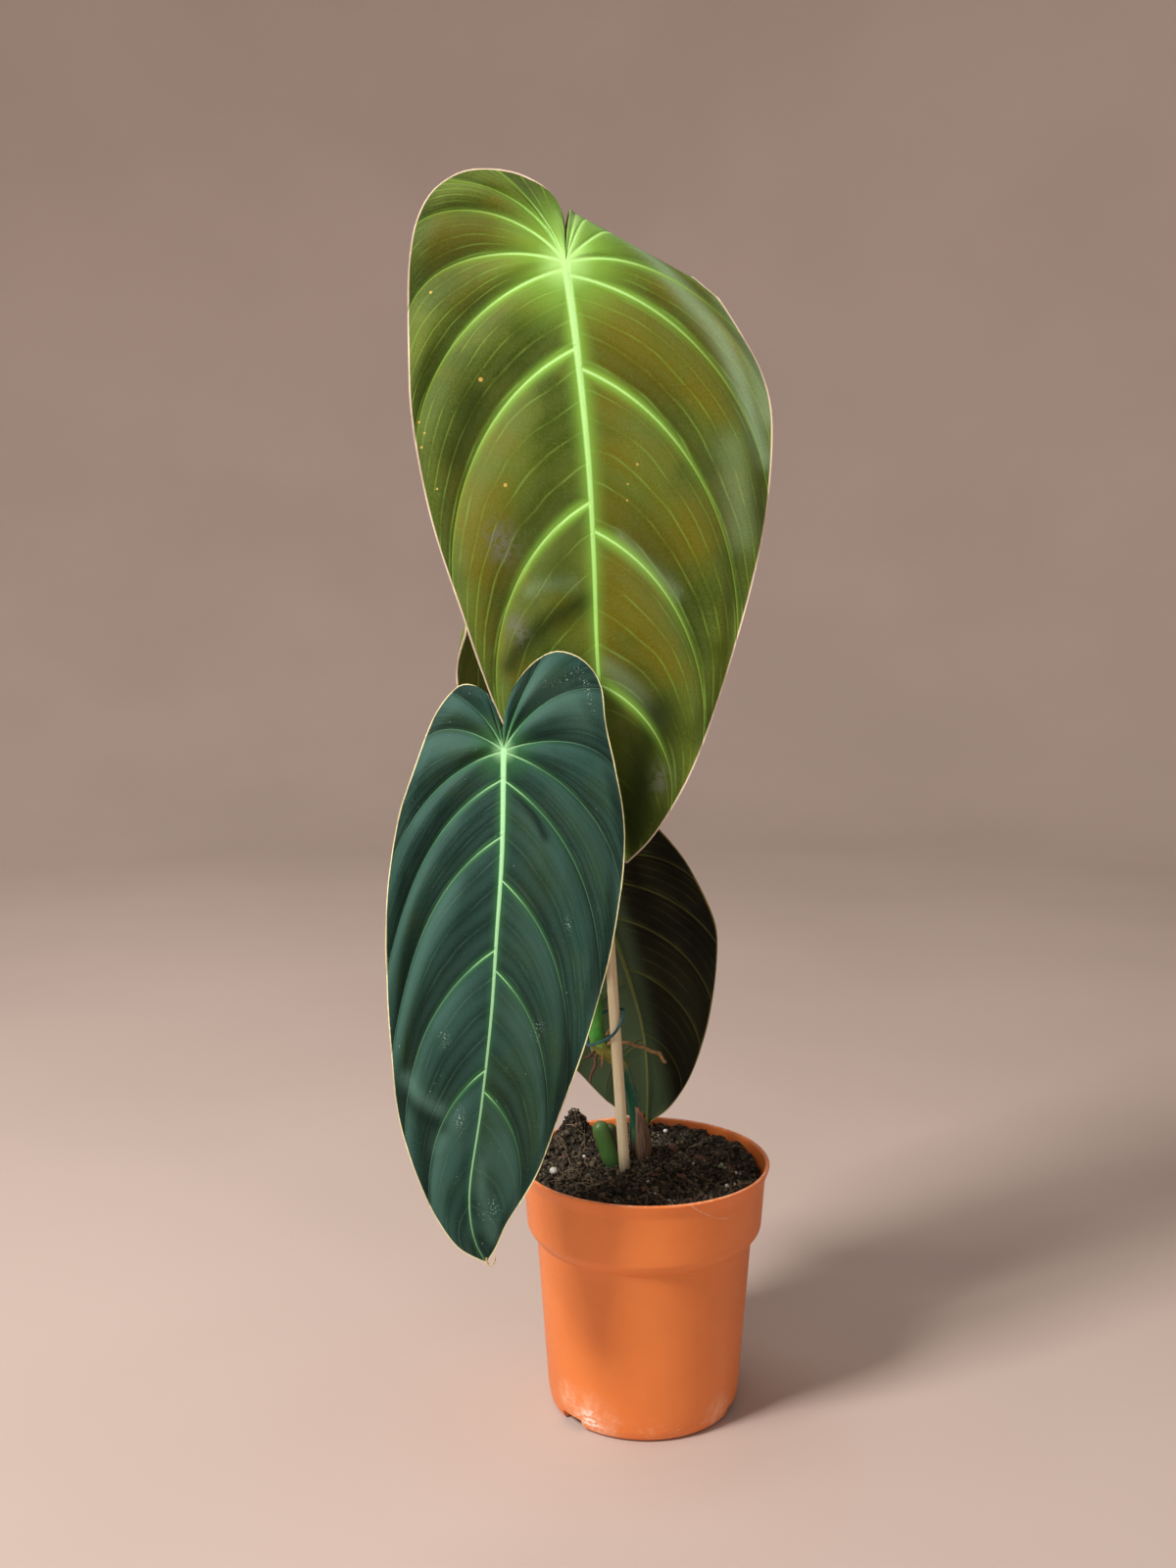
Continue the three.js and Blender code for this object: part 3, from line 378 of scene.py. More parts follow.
class BladeLook(Look):
    """The look of a blade. Colours and amounts come from tint."""

    def __init__(self, name, tint):
        super().__init__(name, "flat")
        self.tint = SimpleNamespace(**tint)
        self.vein, self.half, self.mid, self.mid_half, self.out, self.cell, self.cell_mm, self.down = map(
            self.value, ("vein_mm", "vein_half", "mid_mm", "mid_half", "out", "cell", "cell_mm", "down"))
        length = self.node("VectorMath", {0: self.stretched(1, 1, 0)}, operation="LENGTH")
        self.joint = Number(self, length.outputs["Value"])
        self.patches = self.noise(0.3, 3, 0.5, 0.2)
        self.grain = self.noise(9, 5, 0.95)
        self.ratio = self.vein * (self.noise(7, 2) * 0.5 + 0.75) / self.half
        self.mid_ratio = self.mid / self.mid_half
        self.core = self.band(self.ratio, 1.3, 0.2)

    def skin(self):
        """Two greens with golden areas and fine grain, with painted shade on the base side of each vein and a
        painted sheen on its tip side.
        """
        tint, band, out = self.tint, self.band, self.out
        self.ground(band(self.patches, 0.38, 0.62), tint.deep, tint.mid)
        golden = self.larger(band(self.noise(0.22, 3, 0.5), 0.48, 0.68), self.value("gold"))
        self.paint(golden * band(out, 0.97, 0.7) * tint.golden, tint.gold)
        self.paint(band(self.grain, 0.50, 0.75, 0, tint.grain), tint.fleck)
        self.paint(band(self.grain, 0.48, 0.25, 0, tint.grain), tint.dark)
        phase = self.math("FRACT", self.cell)
        # Painted shade where the quilted face turns down towards the next vein
        painted_cell_shade = band(phase, 0.45, 0.95) * band(out, 0.0, 0.3, 0.3, 1) * band(self.cell_mm, 2, 12)
        self.paint(painted_cell_shade * tint.trough, tint.dark)
        # Painted sheen just past each vein, where the quilted face turns up to the lamp
        satin = band(phase, 0.0, 0.10) * band(phase, 0.55, 0.10) * band(self.noise(0.35, 2), 0.3, 0.6, 0.45, 1)
        satin = satin * band(out, 0.02, 0.35, 0.25, 1) * band(self.cell_mm, 3, 12)
        self.paint(satin * tint.satin, tint.satin_tint)

    def side_veins(self):
        """Thin veins between the main ones, a painted sheen along fine pleat lines, and the finest net."""
        tint, band = self.tint, self.band
        apart = self.math("PINGPONG", self.cell * tint.count + self.noise(0.16, 2) * 1.4, 0.5)
        strand_mm = (0.5 - apart) * (self.cell_mm * (1 / tint.count))
        shown = band(self.noise(0.6, 2), 0.35, 0.65, 0.2, 1)
        self.strands = band(strand_mm, 0.8, 0.0) * (band(self.cell_mm, 8, 20) * shown)
        # Painted sheen along fine pleat lines beside the thin veins
        self.paint(band(apart, 0.40, 0.05) * band(self.cell_mm, 8, 20, 0, tint.pleats), tint.satin_tint)
        self.paint(self.strands * tint.strands, tint.strand)
        self.net = band(self.voronoi(4.5, "DISTANCE_TO_EDGE").outputs["Distance"], 0.06, 0.0)
        self.paint(self.net * tint.net, tint.strand)

    def strokes(self):
        """Painted sheen streaks, painted shade in dips and where one blade shadows another, and rubbed grey
        patches.
        """
        # Painted sheen: pale streaks where the curved face would catch the lamp
        self.paint(self.value("pale") * self.band(self.grain, 0.30, 0.55, 0.6, 1), self.tint.pale)
        # Painted shade: dips in the face and the front blade's shadow on the large one
        self.paint(self.value("painted_shade"), self.tint.dark)
        rubbed = self.value("rubbed") * self.band(self.noise(3, 4, 0.7), 0.40, 0.52)
        self.paint(rubbed * 0.7, self.tint.rubbed)

    def fading(self, away, wide, power):
        """1 on a line and less beside it, down to 0 where away is as much as wide."""
        return self.larger(1 - self.larger(away, 0) / wide, 0) ** power

    def glow(self):
        """The pale green beside the veins, widest and strongest near the joint: partly their own colour,
        partly a painted glow of light shining through the blade.
        """
        tint, band = self.tint, self.band
        most, reach = tint.glow_mm, tint.joint_cm
        beside = self.fading(self.vein - self.half, self.out * (-0.8 * most) + most, 1.8)
        beside = beside * band(self.out, 0.0, 0.75, 1, 0.12)
        along = self.fading(self.mid - self.mid_half, self.down * (-1.1 * most) + 1.8 * most, 2.2)
        along = along * band(self.down, 0.0, 0.8, 0.85, 0.35)
        glow = self.larger(beside, along, band(self.joint, reach, 0) ** 1.3)
        # Partly a painted glow of light shining through the blade, beside the veins, down the midrib and round
        # the joint
        self.paint(glow * tint.glowing, tint.glow)
        self.paint(band(self.joint, 0.36 * reach, 0) * 0.7, tint.vein)

    def main_veins(self):
        tint, band, reach = self.tint, self.band, self.tint.joint_cm
        ended = band(self.out, 0.02, tint.bright) * band(self.joint, 0.1 * reach, reach, 0.35, 1)
        vein = self.mix(ended, tint.vein, tint.vein_end)
        self.paint(self.core * band(self.out, 0.05, 1.0, 0.95, tint.vein_fade), vein)
        midrib = self.mix(band(self.down, 0.05, 0.75), tint.midrib, tint.midrib_end)
        self.paint(band(self.mid_ratio, 1.25, 0.55) * band(self.down, 0.85, 1.0, 1, 0.35), midrib)

    def specks(self):
        for x, y, size in self.tint.specks:
            near = self.far((x, y, math.copysign(2, x)))
            self.paint(self.band(near, size, size * 0.4, 0, 0.85), (0.72, 0.48, 0.10))
        dust = self.dots(5.0, 0.13, 0.25) * self.band(self.noise(0.7, 2), 0.52, 0.62) * self.tint.dust
        dusty = self.value("dusty") * self.band(self.noise(11, 3, 0.7), 0.54, 0.70)
        self.paint(self.larger(dust, dusty), (0.42, 0.56, 0.50))

    def underside(self):
        """The plainer and duller underside, with ribs that stand out, and painted light on one side of it."""
        tint, band = self.tint, self.band
        below = self.mix(band(self.patches, 0.35, 0.65), tint.below, tint.below_mid)
        # Painted light: one side of the underside, by x, is painted lighter as if it faced the lamp
        below = self.mix(band(self.axis("X"), -2.1, -0.8) * tint.lit, below, tint.below_lit)
        below = self.mix(self.strands * 0.35, below, tint.below_vein)
        below = self.mix(band(self.ratio, 2.2, 0.8, 0, 0.85), below, tint.below_vein)
        below = self.mix(band(self.mid_ratio, 1.4, 0.9), below, tint.below_midrib)
        self.paint(self.value("side"), below)


def blade_look(name, tint):
    look = BladeLook(name, tint)
    tint = look.tint
    look.skin()
    look.side_veins()
    look.strokes()
    look.glow()
    look.main_veins()
    look.specks()
    look.underside()
    look.paint(look.band(look.value("margin_mm"), tint.edge_mm, tint.edge_mm * 0.4), tint.edge)
    # Sunk veins on the face and a fine velvet grain everywhere
    height = look.band(look.ratio, 3.0, 0.0) * -0.8 + look.strands * -0.28
    height = height + look.grain * 0.4 + look.net * -0.1 + look.core * 0.3
    rough = look.band(look.grain, 0.3, 0.7, tint.rough - 0.06, tint.rough + 0.08)
    more = {
        "Specular IOR Level": tint.specular, "Sheen Weight": tint.sheen, "Sheen Roughness": 0.35,
        "Sheen Tint": (*tint.sheen_tint, 1),
    }
    light = look.mix(0.5, look.colour, tint.glow) if tint.through else None
    return look.finish(rough, height, 0.0004, 0.9, more, tint.through, light)


# Blade tints. Besides the blades' own colours they hold painted light and shade: pale paints sheen strokes,
# dark paints shade as well as dark grain, and the amounts and colours of the painted sheen, the painted shade
# and the painted light on one side of the underside.
OLIVE_TINT = {
    "deep": (0.055, 0.085, 0.005), "mid": (0.110, 0.150, 0.014), "gold": (0.155, 0.120, 0.001), "golden": 0.8,
    "fleck": (0.29, 0.33, 0.05), "dark": (0.016, 0.026, 0.001), "grain": 0.7, "trough": 0.6, "satin": 0.3,
    "satin_tint": (0.17, 0.24, 0.07), "pale": (0.27, 0.39, 0.22), "strand": (0.20, 0.34, 0.06), "strands": 0.6,
    "net": 0.12, "count": 5, "pleats": 0.10,
    "rubbed": (0.16, 0.17, 0.13), "glow": (0.26, 0.54, 0.07), "glow_mm": 5.6, "glowing": 0.95, "joint_cm": 4.3,
    "vein": (0.56, 0.96, 0.32), "vein_end": (0.27, 0.42, 0.06), "bright": 0.7, "vein_fade": 0.45,
    "midrib": (0.56, 0.98, 0.34), "midrib_end": (0.40, 0.80, 0.16),
    "specks": [
        (-4.2, -4.7, 0.13), (-3.6, -9.4, 0.11), (-6.0, -0.6, 0.09), (2.2, -9.1, 0.07), (-7.1, -6.2, 0.08),
        (-7.1, -7.3, 0.08), (1.7, -9.9, 0.06), (1.6, -10.6, 0.06), (-6.9, -6.7, 0.07), (-6.6, -9.2, 0.07),
    ],
    "dust": 0.35, "edge": (0.82, 0.66, 0.50), "edge_mm": 0.95,
    "below": (0.10, 0.13, 0.02), "below_mid": (0.16, 0.19, 0.03), "lit": 0.4, "below_lit": (0.20, 0.24, 0.05),
    "below_vein": (0.24, 0.30, 0.07), "below_midrib": (0.30, 0.38, 0.10),
    "rough": 0.5, "specular": 0.09, "sheen": 0.02, "sheen_tint": (0.75, 1.0, 0.85), "through": 0.15,
}
VELVET_TINT = {
    "deep": (0.0045, 0.026, 0.019), "mid": (0.011, 0.044, 0.033), "gold": (0.030, 0.055, 0.008),
    "golden": 0.45, "fleck": (0.055, 0.130, 0.105), "dark": (0.0025, 0.012, 0.008), "grain": 0.55,
    "trough": 0.7, "satin": 0.8, "satin_tint": (0.048, 0.120, 0.098), "pale": (0.075, 0.160, 0.120),
    "strand": (0.060, 0.125, 0.095), "strands": 0.35, "net": 0.08, "count": 4, "pleats": 0.22,
    "rubbed": (0.10, 0.15, 0.14), "glow": (0.05, 0.22, 0.06), "glow_mm": 2.6, "glowing": 0.6, "joint_cm": 1.9,
    "vein": (0.34, 0.66, 0.32), "vein_end": (0.11, 0.21, 0.16), "bright": 0.2, "vein_fade": 0.5,
    "midrib": (0.44, 0.86, 0.44), "midrib_end": (0.26, 0.50, 0.28), "specks": [],
    "dust": 0.7, "edge": (0.82, 0.75, 0.42), "edge_mm": 0.65,
    "below": (0.07, 0.09, 0.03), "below_mid": (0.10, 0.13, 0.04), "lit": 0.0, "below_lit": (0.1, 0.1, 0.05),
    "below_vein": (0.17, 0.22, 0.07), "below_midrib": (0.22, 0.28, 0.1),
    "rough": 0.55, "specular": 0.12, "sheen": 0.06, "sheen_tint": (0.7, 0.95, 0.95), "through": 0.0,
}
# The back right blade's look, with painted shade: its underside and margin are painted very dark, and one side
# is painted lighter as painted light
DARK_TINT = {
    **VELVET_TINT,
    "below": (0.0040, 0.0036, 0.0008), "below_mid": (0.010, 0.010, 0.0025), "lit": 0.9, "sheen": 0.02,
    "below_lit": (0.040, 0.062, 0.030), "below_vein": (0.050, 0.055, 0.012),
    "below_midrib": (0.10, 0.115, 0.035), "edge": (0.16, 0.13, 0.03),
}

# The blades, drawn in their own planes as in the solids: x to the right, y from the tip to the base, with the
# stalk's joint at 0, 0, and the margins from the bottom of the sinus to the tip

BACK_HALF = {"fan": 0.36, "crowd": 2.2, "fan_veins": [0.12, 0.24]}
BACK_LEAF = {
    "lift": 34, "calm": 0.3, "lobe_sweep": 60, "sweep": 36, "wave": 1, "waves": 4, "sinus_edge": [0, 0],
}
LEAVES = {
    "leaf_large": {
        "base": [-36.8, -18, 532.8], "tip": [-9.7, -42, 271.8], "facing": 0, "look": OLIVE_TINT,
        "slot": "leaf_olive",
        "midrib": [[0, 0], [1, -35], [1, -86], [-1, -130], [-4, -176], [-4, -220], [0, -264]],
        "left": {
            "margin": [
                [0.6, 5], [1, 22], [-3, 31], [-10, 38], [-20, 44], [-32, 47], [-44, 46], [-55, 39], [-63, 27],
                [-68, 10], [-71, -10], [-73, -36], [-74, -57], [-71, -100], [-61, -147], [-49, -195],
                [-32, -232], [-14, -255], [0, -264],
            ],
            "fan": 0.42, "crowd": 2.05, "fan_veins": [0.135, 0.19, 0.25, 0.345],
            "veins": [0.485, 0.645, 0.79, 0.91],
        },
        "right": {
            "margin": [
                [0.6, 5], [3, 18], [8, 30], [18, 40], [30, 43], [42, 37], [51, 25], [56, 8], [59, -10],
                [66, -22], [73, -36], [80, -54], [83, -73], [78, -111], [66, -150], [48, -195], [29, -232],
                [12, -254], [0, -264],
            ],
            "fan": 0.44, "crowd": 2.5, "fan_veins": [0.1, 0.17, 0.25, 0.38],
            "veins": [0.56, 0.72, 0.845, 0.925],
        },
        "lift": 38, "calm": 0.3, "lobe_sweep": 65, "sweep": 40, "bulge": 6, "fold": 0.08, "puff": 2.8,
        "wave": 1.6, "waves": 5, "curl": {"from": [4.6, 20], "to": [50.6, -11], "radius": 6, "turn": 150},
        "vein_half": 0.95, "mid_half": 2.1, "sinus_edge": [0.4, 1],
        # Strokes of painted shade, of pale painted sheen and of rubbed, golden and dusty marks: kind,
        # strength, reach in millimetres and line
        "strokes": [
            ("painted_shade", 0.55, 6, [[-46, -54], [-51, -66], [-57, -80]]),
            ("painted_shade", 0.85, 5, [[-5, -147], [-13, -150], [-26, -157], [-36, -164], [-42, -172]]),
            ("painted_shade", 0.9, 11, [[20, -200], [13, -215], [8, -235], [2, -250]]),
            ("pale", 0.8, 4, [[27, 12], [39, -1], [46, -12], [63, -38], [71, -60], [77, -94]]),
            ("pale", 0.6, 6, [[56, 2], [68, -18], [77, -45], [81, -75]]),
            ("pale", 0.8, 6, [[4, 14], [7, 24]]), ("pale", 0.5, 4, [[14, 17], [32, 8]]),
            ("pale", 0.45, 3, [[11, -122], [16, -128], [25, -139], [33, -148]]),
            ("pale", 0.4, 4, [[0, -177], [4, -181], [14, -193], [19, -202]]),
            ("pale", 0.3, 3, [[-30, -141], [-25, -139], [-11, -139]]),
            ("painted_shade", 0.35, 12, [[-58, 10], [-40, 19]]), ("painted_shade", 0.3, 9, [[-13, -108], [-15, -136]]),
            ("pale", 0.3, 8, [[64, -88], [66, -125]]), ("rubbed", 1, 6, [[-41, -116], [-40, -121]]),
            ("rubbed", 1, 4, [[-38, -154], [-37, -158]]), ("rubbed", 0.8, 4, [[19, -226], [18, -231]]),
            ("gold", 1, 17, [[15, -22], [23, -37], [33, -56]]),
            ("gold", 1, 8, [[-56, 9], [-46, 17], [-38, 19]]),
        ],
    },
    "leaf_front": {
        "base": [-62.9, -62, 323.6], "tip": [-70.4, -88, 106.1], "facing": 0, "look": VELVET_TINT,
        "slot": "leaf_velvet",
        "midrib": [[0, 0], [1, -45], [0, -80], [-1, -112], [-4, -152], [-8, -193], [-5, -211], [0, -219]],
        "left": {
            "margin": [
                [-1, 8], [-4, 18], [-7, 23], [-12, 27], [-19, 28], [-25, 23], [-31, 13], [-38, -9],
                [-44, -30], [-47, -55], [-47, -85], [-46, -103], [-43, -130], [-39, -159], [-31, -181],
                [-22, -200], [-12, -213], [0, -219],
            ],
            "fan": 0.33, "crowd": 2.5, "fan_veins": [0.06, 0.12, 0.2],
            "veins": [0.385, 0.54, 0.655, 0.785, 0.88],
        },
        "right": {
            "margin": [
                [-1, 8], [0, 17], [3, 27], [8, 35], [14, 41], [21, 44], [30, 42], [37, 36], [41, 28],
                [43, 14], [48, -6], [52, -25], [53, -42], [51, -67], [48, -87], [44, -104], [37, -130],
                [29, -154], [21, -178], [15, -190], [8, -202], [4, -212], [0, -219],
            ],
            "fan": 0.42, "crowd": 2.7, "fan_veins": [0.12, 0.22, 0.33],
            "veins": [0.485, 0.62, 0.765, 0.84, 0.915],
        },
        "lift": 32, "calm": 0.75, "lobe_sweep": 60, "sweep": 27, "bulge": 8, "fold": 0.12, "puff": 3.6,
        "wave": 1.2, "waves": 5, "vein_half": 0.45, "mid_half": 1.35, "sinus_edge": [0.2, 0.2],
        # Strokes of painted shade, of pale painted sheen and of dusty and golden marks
        "strokes": [
            ("painted_shade", 0.85, 2, [[5, -15], [10, -22], [14, -27], [19, -36]]),
            ("painted_shade", 0.7, 3.5, [[-36, -149], [-28, -156], [-20, -160]]),
            ("pale", 0.7, 3.5, [[-36, -140], [-30, -148], [-22, -153]]),
            ("pale", 0.5, 3, [[-18, -160], [-22, -170]]), ("pale", 0.4, 9, [[12, 24], [24, 24], [33, 16]]),
            ("pale", 0.5, 3, [[-4, -176], [-1, -196], [4, -208]]),
            ("dusty", 1, 1.2, [[17, 29], [24, 30], [30, 37], [35, 27], [38, 18]]),
            ("dusty", 1, 2, [[-21, -121], [-20, -124]]), ("dusty", 1, 1.8, [[-13, -153], [-13, -160]]),
            ("dusty", 0.9, 2, [[19, -116], [18, -120]]), ("dusty", 1, 2, [[2, -192], [3, -197]]),
            ("dusty", 1, 1.4, [[30, -71], [30, -74]]), ("gold", 1, 7, [[36, -104], [34, -108]]),
            ("gold", 1, 7, [[40, -38], [49, -67], [51, -96], [44, -121]]),
            ("gold", 0.9, 6, [[19, -141], [19, -150]]),
        ],
    },
    "leaf_back_right": {
        "base": [-31.5, 34, 258], "tip": [3.2, 43, 121.5], "facing": 166, "look": DARK_TINT,
        "slot": "leaf_dark",
        "midrib": [[0, 0], [-5, -25], [-8, -55], [-9, -92], [-6, -115], [0, -141]],
        "left": {
            "margin": [
                [0, 7], [-3, 20], [-12, 31], [-27, 32], [-39, 20], [-47, 6], [-54, -10], [-58, -28],
                [-59, -45], [-55, -62], [-48, -82], [-39, -101], [-27, -120], [-13, -134], [0, -141],
            ],
            **BACK_HALF, "veins": [0.42, 0.56, 0.68, 0.79, 0.89],
        },
        "right": {
            "margin": [
                [0, 7], [3, 19], [12, 29], [25, 31], [37, 21], [44, 2], [48, -25], [47, -55], [42, -82],
                [33, -102], [22, -120], [10, -134], [0, -141],
            ],
            **BACK_HALF, "veins": [0.43, 0.58, 0.7, 0.81, 0.9],
        },
        **BACK_LEAF, "bulge": 6, "fold": 0.1, "puff": 1.8, "vein_half": 0.6, "mid_half": 1.6,
    },
    "leaf_back_left": {
        "base": [-75, 30, 392], "tip": [-80, 48, 301], "facing": 238, "look": OLIVE_TINT,
        "slot": "leaf_olive",
        "midrib": [[0, 0], [1, -32], [0, -64], [0, -94]],
        "left": {
            "margin": [
                [0, 5], [-2, 13], [-8, 20], [-17, 21], [-26, 14], [-31, 0], [-33, -20], [-32, -38],
                [-27, -59], [-18, -77], [-8, -89], [0, -94],
            ],
            **BACK_HALF, "veins": [0.43, 0.58, 0.72, 0.85],
        },
        "right": {
            "margin": [
                [0, 5], [2, 13], [8, 20], [17, 21], [26, 14], [31, 0], [33, -20], [32, -38], [27, -59],
                [18, -77], [8, -89], [0, -94],
            ],
            **BACK_HALF, "veins": [0.44, 0.6, 0.74, 0.87],
        },
        **BACK_LEAF, "bulge": 5, "fold": 0.5, "puff": 1.6, "vein_half": 0.55, "mid_half": 1.4,
    },
}

FOLD_SOFTNESS = 6
MARGIN_ANGLE = math.radians(14)
HANDLE = 0.36
BLADE_THICK = 0.7
JOINT_REACH = 7
KEEL, KEEL_WIDTH = 1.9, 1.9
RIB, RIB_WIDTH = 0.6, 1.1
FAN_COLUMNS = 44
BODY_COLUMNS = 96
BLADE_ROWS = 56
FLAT_TO_CM = 0.1
STROKE_KINDS = ("painted_shade", "pale", "rubbed", "gold", "dusty")


def turned(vectors, angle):
    c, s = np.cos(angle), np.sin(angle)
    x, y = vectors[..., 0], vectors[..., 1]
    return np.stack([x * c - y * s, x * s + y * c], axis=-1)


def flat_lines(leaf, half, sign, t, u, v):
    """The points of lines t, u at every share v of the way out, in the blade's plane."""
    start = leaf["mid_curve"].at(t)
    end = half["curve"].at(u)
    chord = end - start
    from_sinus = np.arctan2(np.abs(chord[:, 0]), chord[:, 1])
    lift = np.minimum(math.radians(leaf["lift"]), 0.75 * from_sinus)
    body = smoothstep(0.2, 0.6, u)
    wanted = np.radians(leaf["lobe_sweep"] + (leaf["sweep"] - leaf["lobe_sweep"]) * body)
    ahead = half["curve"].at(np.minimum(u + 0.004, 1)) - half["curve"].at(np.maximum(u - 0.004, 0))
    leaning = sign * (np.arctan2(chord[:, 1], chord[:, 0]) - np.arctan2(ahead[:, 1], ahead[:, 0]))
    to_margin = np.mod(leaning + math.pi, 2 * math.pi) - math.pi
    sweep = np.minimum(np.minimum(wanted, 0.75 * from_sinus), np.maximum(to_margin - MARGIN_ANGLE, 0))
    opened = smoothstep(-0.05, 0.25, u)
    second = start + HANDLE * turned(chord, sign * lift * opened)
    third = end - HANDLE * turned(chord, -sign * sweep * opened)
    w = v[None, :, None]
    a, b, c, d = (p[:, None] for p in (start, second, third, end))
    return a * (1 - w) ** 3 + 3 * b * w * (1 - w) ** 2 + 3 * c * w**2 * (1 - w) + d * w**3


def cells(marks, u):
    """For each u the number of the mark after it, and the marks before and after it."""
    after = np.clip(np.searchsorted(marks, u, side="right"), 1, len(marks) - 1)
    return after, marks[after - 1], marks[after]


def relief(leaf, half, points, u, v):
    """How far the arched, quilted and waved face stands out of the plane."""
    share = -points[..., 1] / leaf["length"]
    arch = 4 * leaf["bulge"] * share * (1 - share)
    across = points[..., 0] - leaf["mid_curve"].at(np.clip(share, 0, 1))[..., 0]
    sides = leaf["fold"] * (np.hypot(across, FOLD_SOFTNESS) - FOLD_SOFTNESS)
    after, low, high = cells(half["marks"], u)
    width = ((high - low) * half["length"])[:, None] * v[None, :] ** 0.7
    rise = smoothstep(0.02, 0.25, v) * (1 - 0.75 * smoothstep(0.75, 1, v))
    phase = (u - low) / (high - low)
    bow = np.sin(math.pi * phase * (1 + 0.4 * (1 - phase))) * np.where(after == 1, 0.4, 1)
    calm = 1 - leaf["calm"] * smoothstep(0.45, 1, share)
    puff = leaf["puff"] * np.minimum(1, width / 25) * bow[:, None] * rise * calm
    if "curl" in leaf and half is leaf["right"]:
        puff = puff * smoothstep(1, -16, beyond(leaf["curl"], points)[0])
    ends = smoothstep(0, 0.12, u) * smoothstep(1, 0.85, u)
    wave = leaf["wave"] * smoothstep(0.6, 1, v)[None] * ends[:, None]
    return arch - sides + puff + wave * np.sin(2 * math.pi * leaf["waves"] * u)[:, None]


def beyond(curl, points):
    """How far points lie beyond the line where a blade starts to roll back, and the direction square to it."""
    start = np.array(curl["from"], float)
    along = unit(np.array(curl["to"], float) - start)
    out = np.array([-along[1], along[0]])
    return (points[..., :2] - start) @ out, out


def curled(curl, points):
    """Rolls what lies beyond a line of the blade back round a cylinder."""
    reach, out = beyond(curl, points)
    angle = np.clip(reach / curl["radius"], 0, math.radians(curl["turn"]))
    rest = np.maximum(reach, 0) - curl["radius"] * angle
    stand = curl["radius"] + points[..., 2]
    moved = stand * np.sin(angle) + rest * np.cos(angle)
    depth = stand * np.cos(angle) - rest * np.sin(angle) - curl["radius"]
    result = points.copy()
    result[..., :2] += np.where(reach > 0, moved - reach, 0)[..., None] * out
    result[..., 2] = np.where(reach > 0, depth, points[..., 2])
    return result


def distance_to(plane, line):
    """How far each point of a grid is from the nearest of a line's points."""
    return np.array([np.sqrt(((row[:, None] - line[None]) ** 2).sum(-1)).min(1) for row in plane])


def square_to(away, ahead):
    """How far points lie beside a line that runs ahead."""
    return np.abs(away[..., 0] * ahead[..., 1] - away[..., 1] * ahead[..., 0])


def vein_distances(leaf, half, sign, u, v, plane):
    """How far each point of a half is from its nearest vein, and how wide its cell between two veins is."""
    marks = half["marks"]
    nearest = np.full(plane.shape[:2], 1e3)
    width = np.zeros(plane.shape[:2])
    line_before, ahead_before = None, None
    for k, mark in enumerate(marks):
        share = 0.0 if mark <= half["fan"] else ((mark - half["fan"]) / (1 - half["fan"])) ** half["crowd"]
        line = flat_lines(leaf, half, sign, np.array([share]), np.array([mark]), v)[0]
        ahead = np.gradient(line, axis=0)
        ahead /= np.maximum(np.linalg.norm(ahead, axis=1, keepdims=True), 1e-9)
        if 0 < mark < 1:
            beside = np.abs(np.searchsorted(marks, u, side="right") - (k + 1)) <= 1
            square = np.minimum(nearest, square_to(plane - line[None], ahead))
            nearest = np.where(beside[:, None], square, nearest)
        if k:
            width[cells(marks, u)[0] == k] = square_to(line - line_before, ahead_before)
        line_before, ahead_before = line, ahead
    return nearest, width


def strokes_on(leaf, plane):
    """How strongly the strokes of each kind mark the points of a half."""
    made = {kind: np.zeros(plane.shape[:2]) for kind in STROKE_KINDS}
    for kind, strength, reach, line in leaf.get("strokes", []):
        far = distance_to(plane, Curve(line).at(np.linspace(0, 1, 40)))
        made[kind] = np.maximum(made[kind], strength * np.exp(-((far / reach) ** 2)))
    return made


def blade_half(leaf, half, sign, t, u):
    """One half of a blade as a grid of points with the values that its look reads."""
    v = np.linspace(0, 1, BLADE_ROWS) ** 1.15
    plane = flat_lines(leaf, half, sign, t, u, v)
    shape = plane.shape[:2]
    points = np.concatenate([plane, relief(leaf, half, plane, u, v)[..., None]], axis=-1)
    if sign > 0 and "curl" in leaf:
        points = curled(leaf["curl"], points)
    after, low, high = cells(half["marks"], u)
    nearest, width = vein_distances(leaf, half, sign, u, v, plane)
    in_sinus = smoothstep(0.10, 0.06, u)[:, None]
    margin = distance_to(plane, half["curve"].at(np.linspace(0, 1, 500)))
    share = np.clip(-plane[..., 1] / leaf["length"], 0, 1)
    across = plane[..., 0] - leaf["mid_curve"].at(share)[..., 0]
    return points, {
        **strokes_on(leaf, plane),
        "flat": np.concatenate([plane, np.full(shape + (1,), 20.0 * sign)], axis=-1) * FLAT_TO_CM,
        "vein_mm": nearest,
        "vein_half": leaf["vein_half"] * (1 - 0.72 * v[None, :] ** 0.6) * (1 - 0.4 * t[:, None]),
        "mid_mm": np.hypot(across, np.maximum(plane[..., 1], 0)),
        "mid_half": leaf["mid_half"] * (1 - 0.8 * share**0.6),
        "margin_mm": margin * (1 + 2 * in_sinus) + leaf["sinus_edge"][sign > 0] * in_sinus,
        "out": np.broadcast_to(v, shape),
        "cell": np.broadcast_to((after - 1 + (u - low) / (high - low))[:, None], shape),
        "cell_mm": width,
        "down": share,
    }


def with_marks(grid, marks):
    """A grid's values and the marks, without the values that nearly meet a mark."""
    away = np.abs(grid[:, None] - marks[None]).min(axis=1)
    away[[0, -1]] = 1
    return np.unique(np.concatenate([grid[away > 0.3 * grid[1]], marks]))


